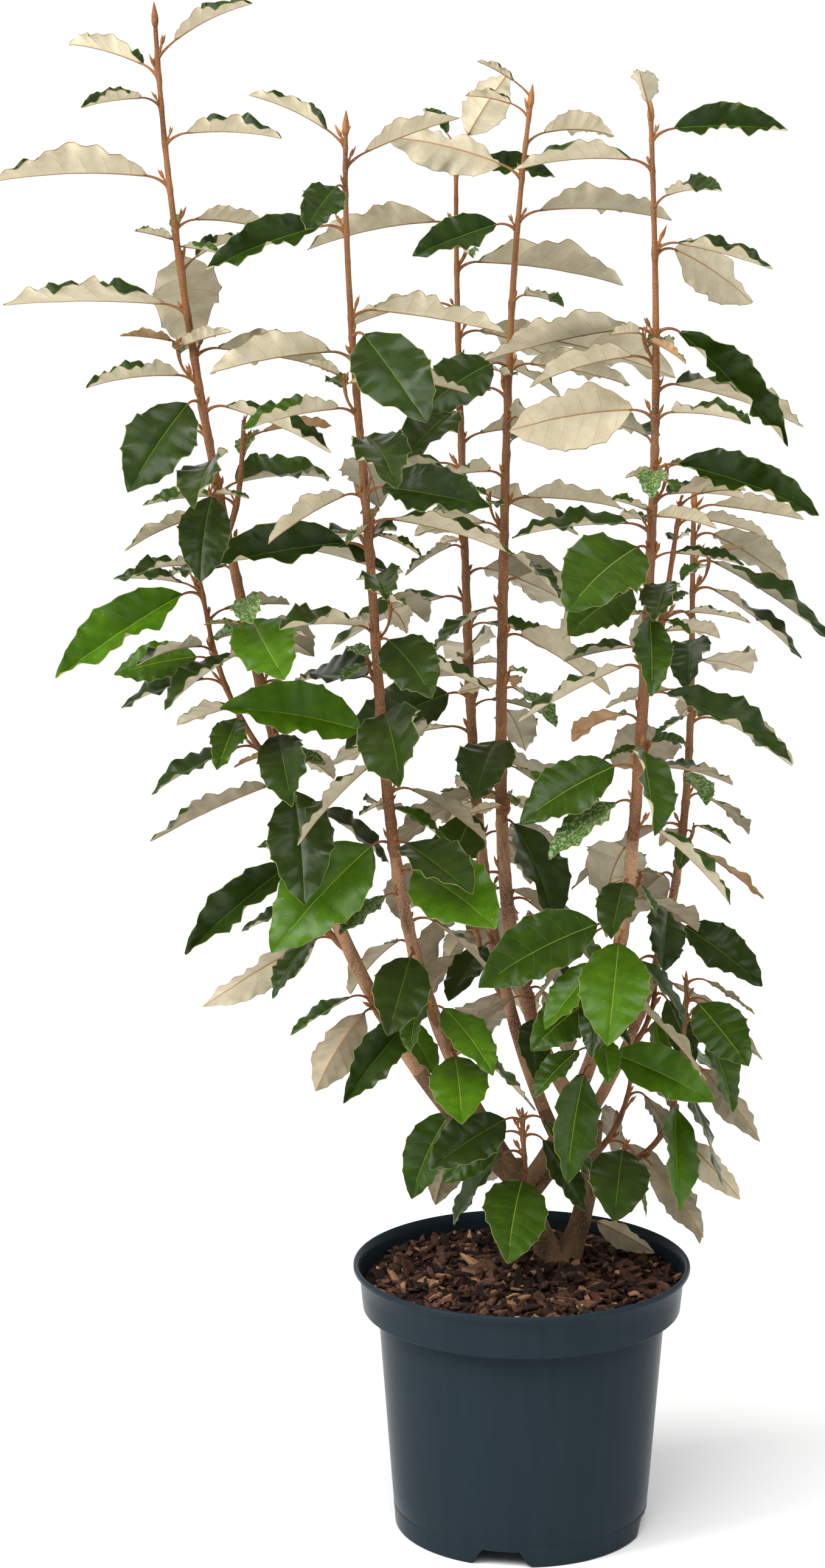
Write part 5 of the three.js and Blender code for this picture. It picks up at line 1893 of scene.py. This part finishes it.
@dataclass(frozen=True)
class Softbox:
    """A soft rectangular light that faces the pot's axis at some height. Lengths are in metres."""

    name: str
    place: Place
    facing: float
    size: Span
    power: float

    def build(self) -> None:
        """Makes the light."""
        lamp = bpy.data.lights.new(self.name, "AREA")
        lamp.shape = "RECTANGLE"
        lamp.size, lamp.size_y = self.size
        lamp.energy = self.power
        held = new_object(self.name, lamp)
        held.location = self.place
        x, y, z = self.place
        held.rotation_euler = Vector((-x, -y, self.facing - z)).to_track_quat("-Z", "Y").to_euler()


@dataclass
class Studio:
    """The picture's camera, on a plain pale floor under soft lights. Lengths are in metres."""

    sight: float = 3000.0
    floor_radius: float = 800.0
    floor_sides: int = 96
    floor_drop: float = 0.0004
    room_shade: str = "#7C7C7C"
    backdrop: str = "#FFFFFF"
    backdrop_depths: Span = (-0.45, 0.15)
    backdrop_heights: Span = (0.75, 0.35)
    diffuser_power: float = 2.4
    diffuser_angle: float = 60.0
    diffuser_tilt: float = 25.0
    softboxes: tuple[Softbox, ...] = (
        Softbox("softbox_left", (-2.1, -1.0, 2.1), 0.5, (1.3, 1.6), 60),
        Softbox("softbox_right", (2.2, -0.5, 1.2), 0.5, (1.2, 1.8), 4),
        Softbox("softbox_above", (-0.6, -1.2, 2.7), 0.6, (1.4, 1.2), 10),
    )

    def build(self) -> None:
        """Makes the camera, the floor and the lights."""
        self.make_camera()
        self.make_floor()
        self.make_backdrop()
        for softbox in self.softboxes:
            softbox.build()
        diffuser = bpy.data.lights.new("overhead_diffuser", "SUN")
        diffuser.energy = self.diffuser_power
        diffuser.angle = math.radians(self.diffuser_angle)
        held = new_object("overhead_diffuser", diffuser)
        held.rotation_euler = (math.radians(self.diffuser_tilt), 0, 0)

    def make_camera(self) -> None:
        """Makes the camera where the picture was taken from."""
        lens = bpy.data.cameras.new("camera")
        lens.sensor_width = SENSOR_WIDTH
        lens.lens = FOCAL_PIXELS * SENSOR_WIDTH / max(PICTURE_SIZE)
        lens.clip_end = self.sight
        camera = new_object("camera", lens)
        camera.location = [value * MM for value in CAMERA_PLACE]
        camera.rotation_euler = (math.radians(90 - CAMERA_PITCH), 0, 0)
        bpy.context.scene.camera = camera
        bpy.context.scene.view_settings.view_transform = "Standard"

    def make_backdrop(self) -> None:
        """Makes the white backdrop, in a room that is dimmer in front and overhead."""
        world = bpy.data.worlds.new("white_studio")
        world.use_nodes = True
        tree = world.node_tree
        way = add(tree, "SeparateXYZ", {"Vector": add(tree, "TexCoord").outputs["Generated"]})
        ends = (("Y", self.backdrop_depths), ("Z", self.backdrop_heights))
        behind, low = (
            add(tree, "MapRange", {"Value": way.outputs[axis]}, From_Min=start, From_Max=end)
            for axis, (start, end) in ends
        )
        both = {0: behind.outputs["Result"], 1: low.outputs["Result"]}
        white = add(tree, "Math", both, operation="MULTIPLY")
        seen = add(tree, "LightPath").outputs["Is Camera Ray"]
        share = add(tree, "Math", {0: white.outputs["Value"], 1: seen}, operation="MAXIMUM")
        shades = {0: share.outputs["Value"], 6: linear(self.room_shade), 7: linear(self.backdrop)}
        walls = add(tree, "Mix", shades, data_type="RGBA")
        tree.links.new(walls.outputs[2], tree.nodes["Background"].inputs["Color"])
        bpy.context.scene.world = world

    def make_floor(self) -> None:
        """Makes the floor, as a wide disc just under the pot."""
        ring = circle(self.floor_sides) * self.floor_radius
        mesh = bpy.data.meshes.new("floor")
        mesh.from_pydata(ring.tolist(), [], [range(self.floor_sides)])
        mesh.materials.append(material_of(STUDIO_FLOOR))
        floor = new_object("floor", mesh)
        floor.location.z = -self.floor_drop


def main() -> None:
    """Builds the studio, the pot, the mulch and the plant."""
    logging.basicConfig(level=logging.INFO, format="%(message)s")
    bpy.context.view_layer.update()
    for part in (Studio(), NurseryPot(), Mulch(), Shrub()):
        part.build()


if __name__ == "__main__":
    main()
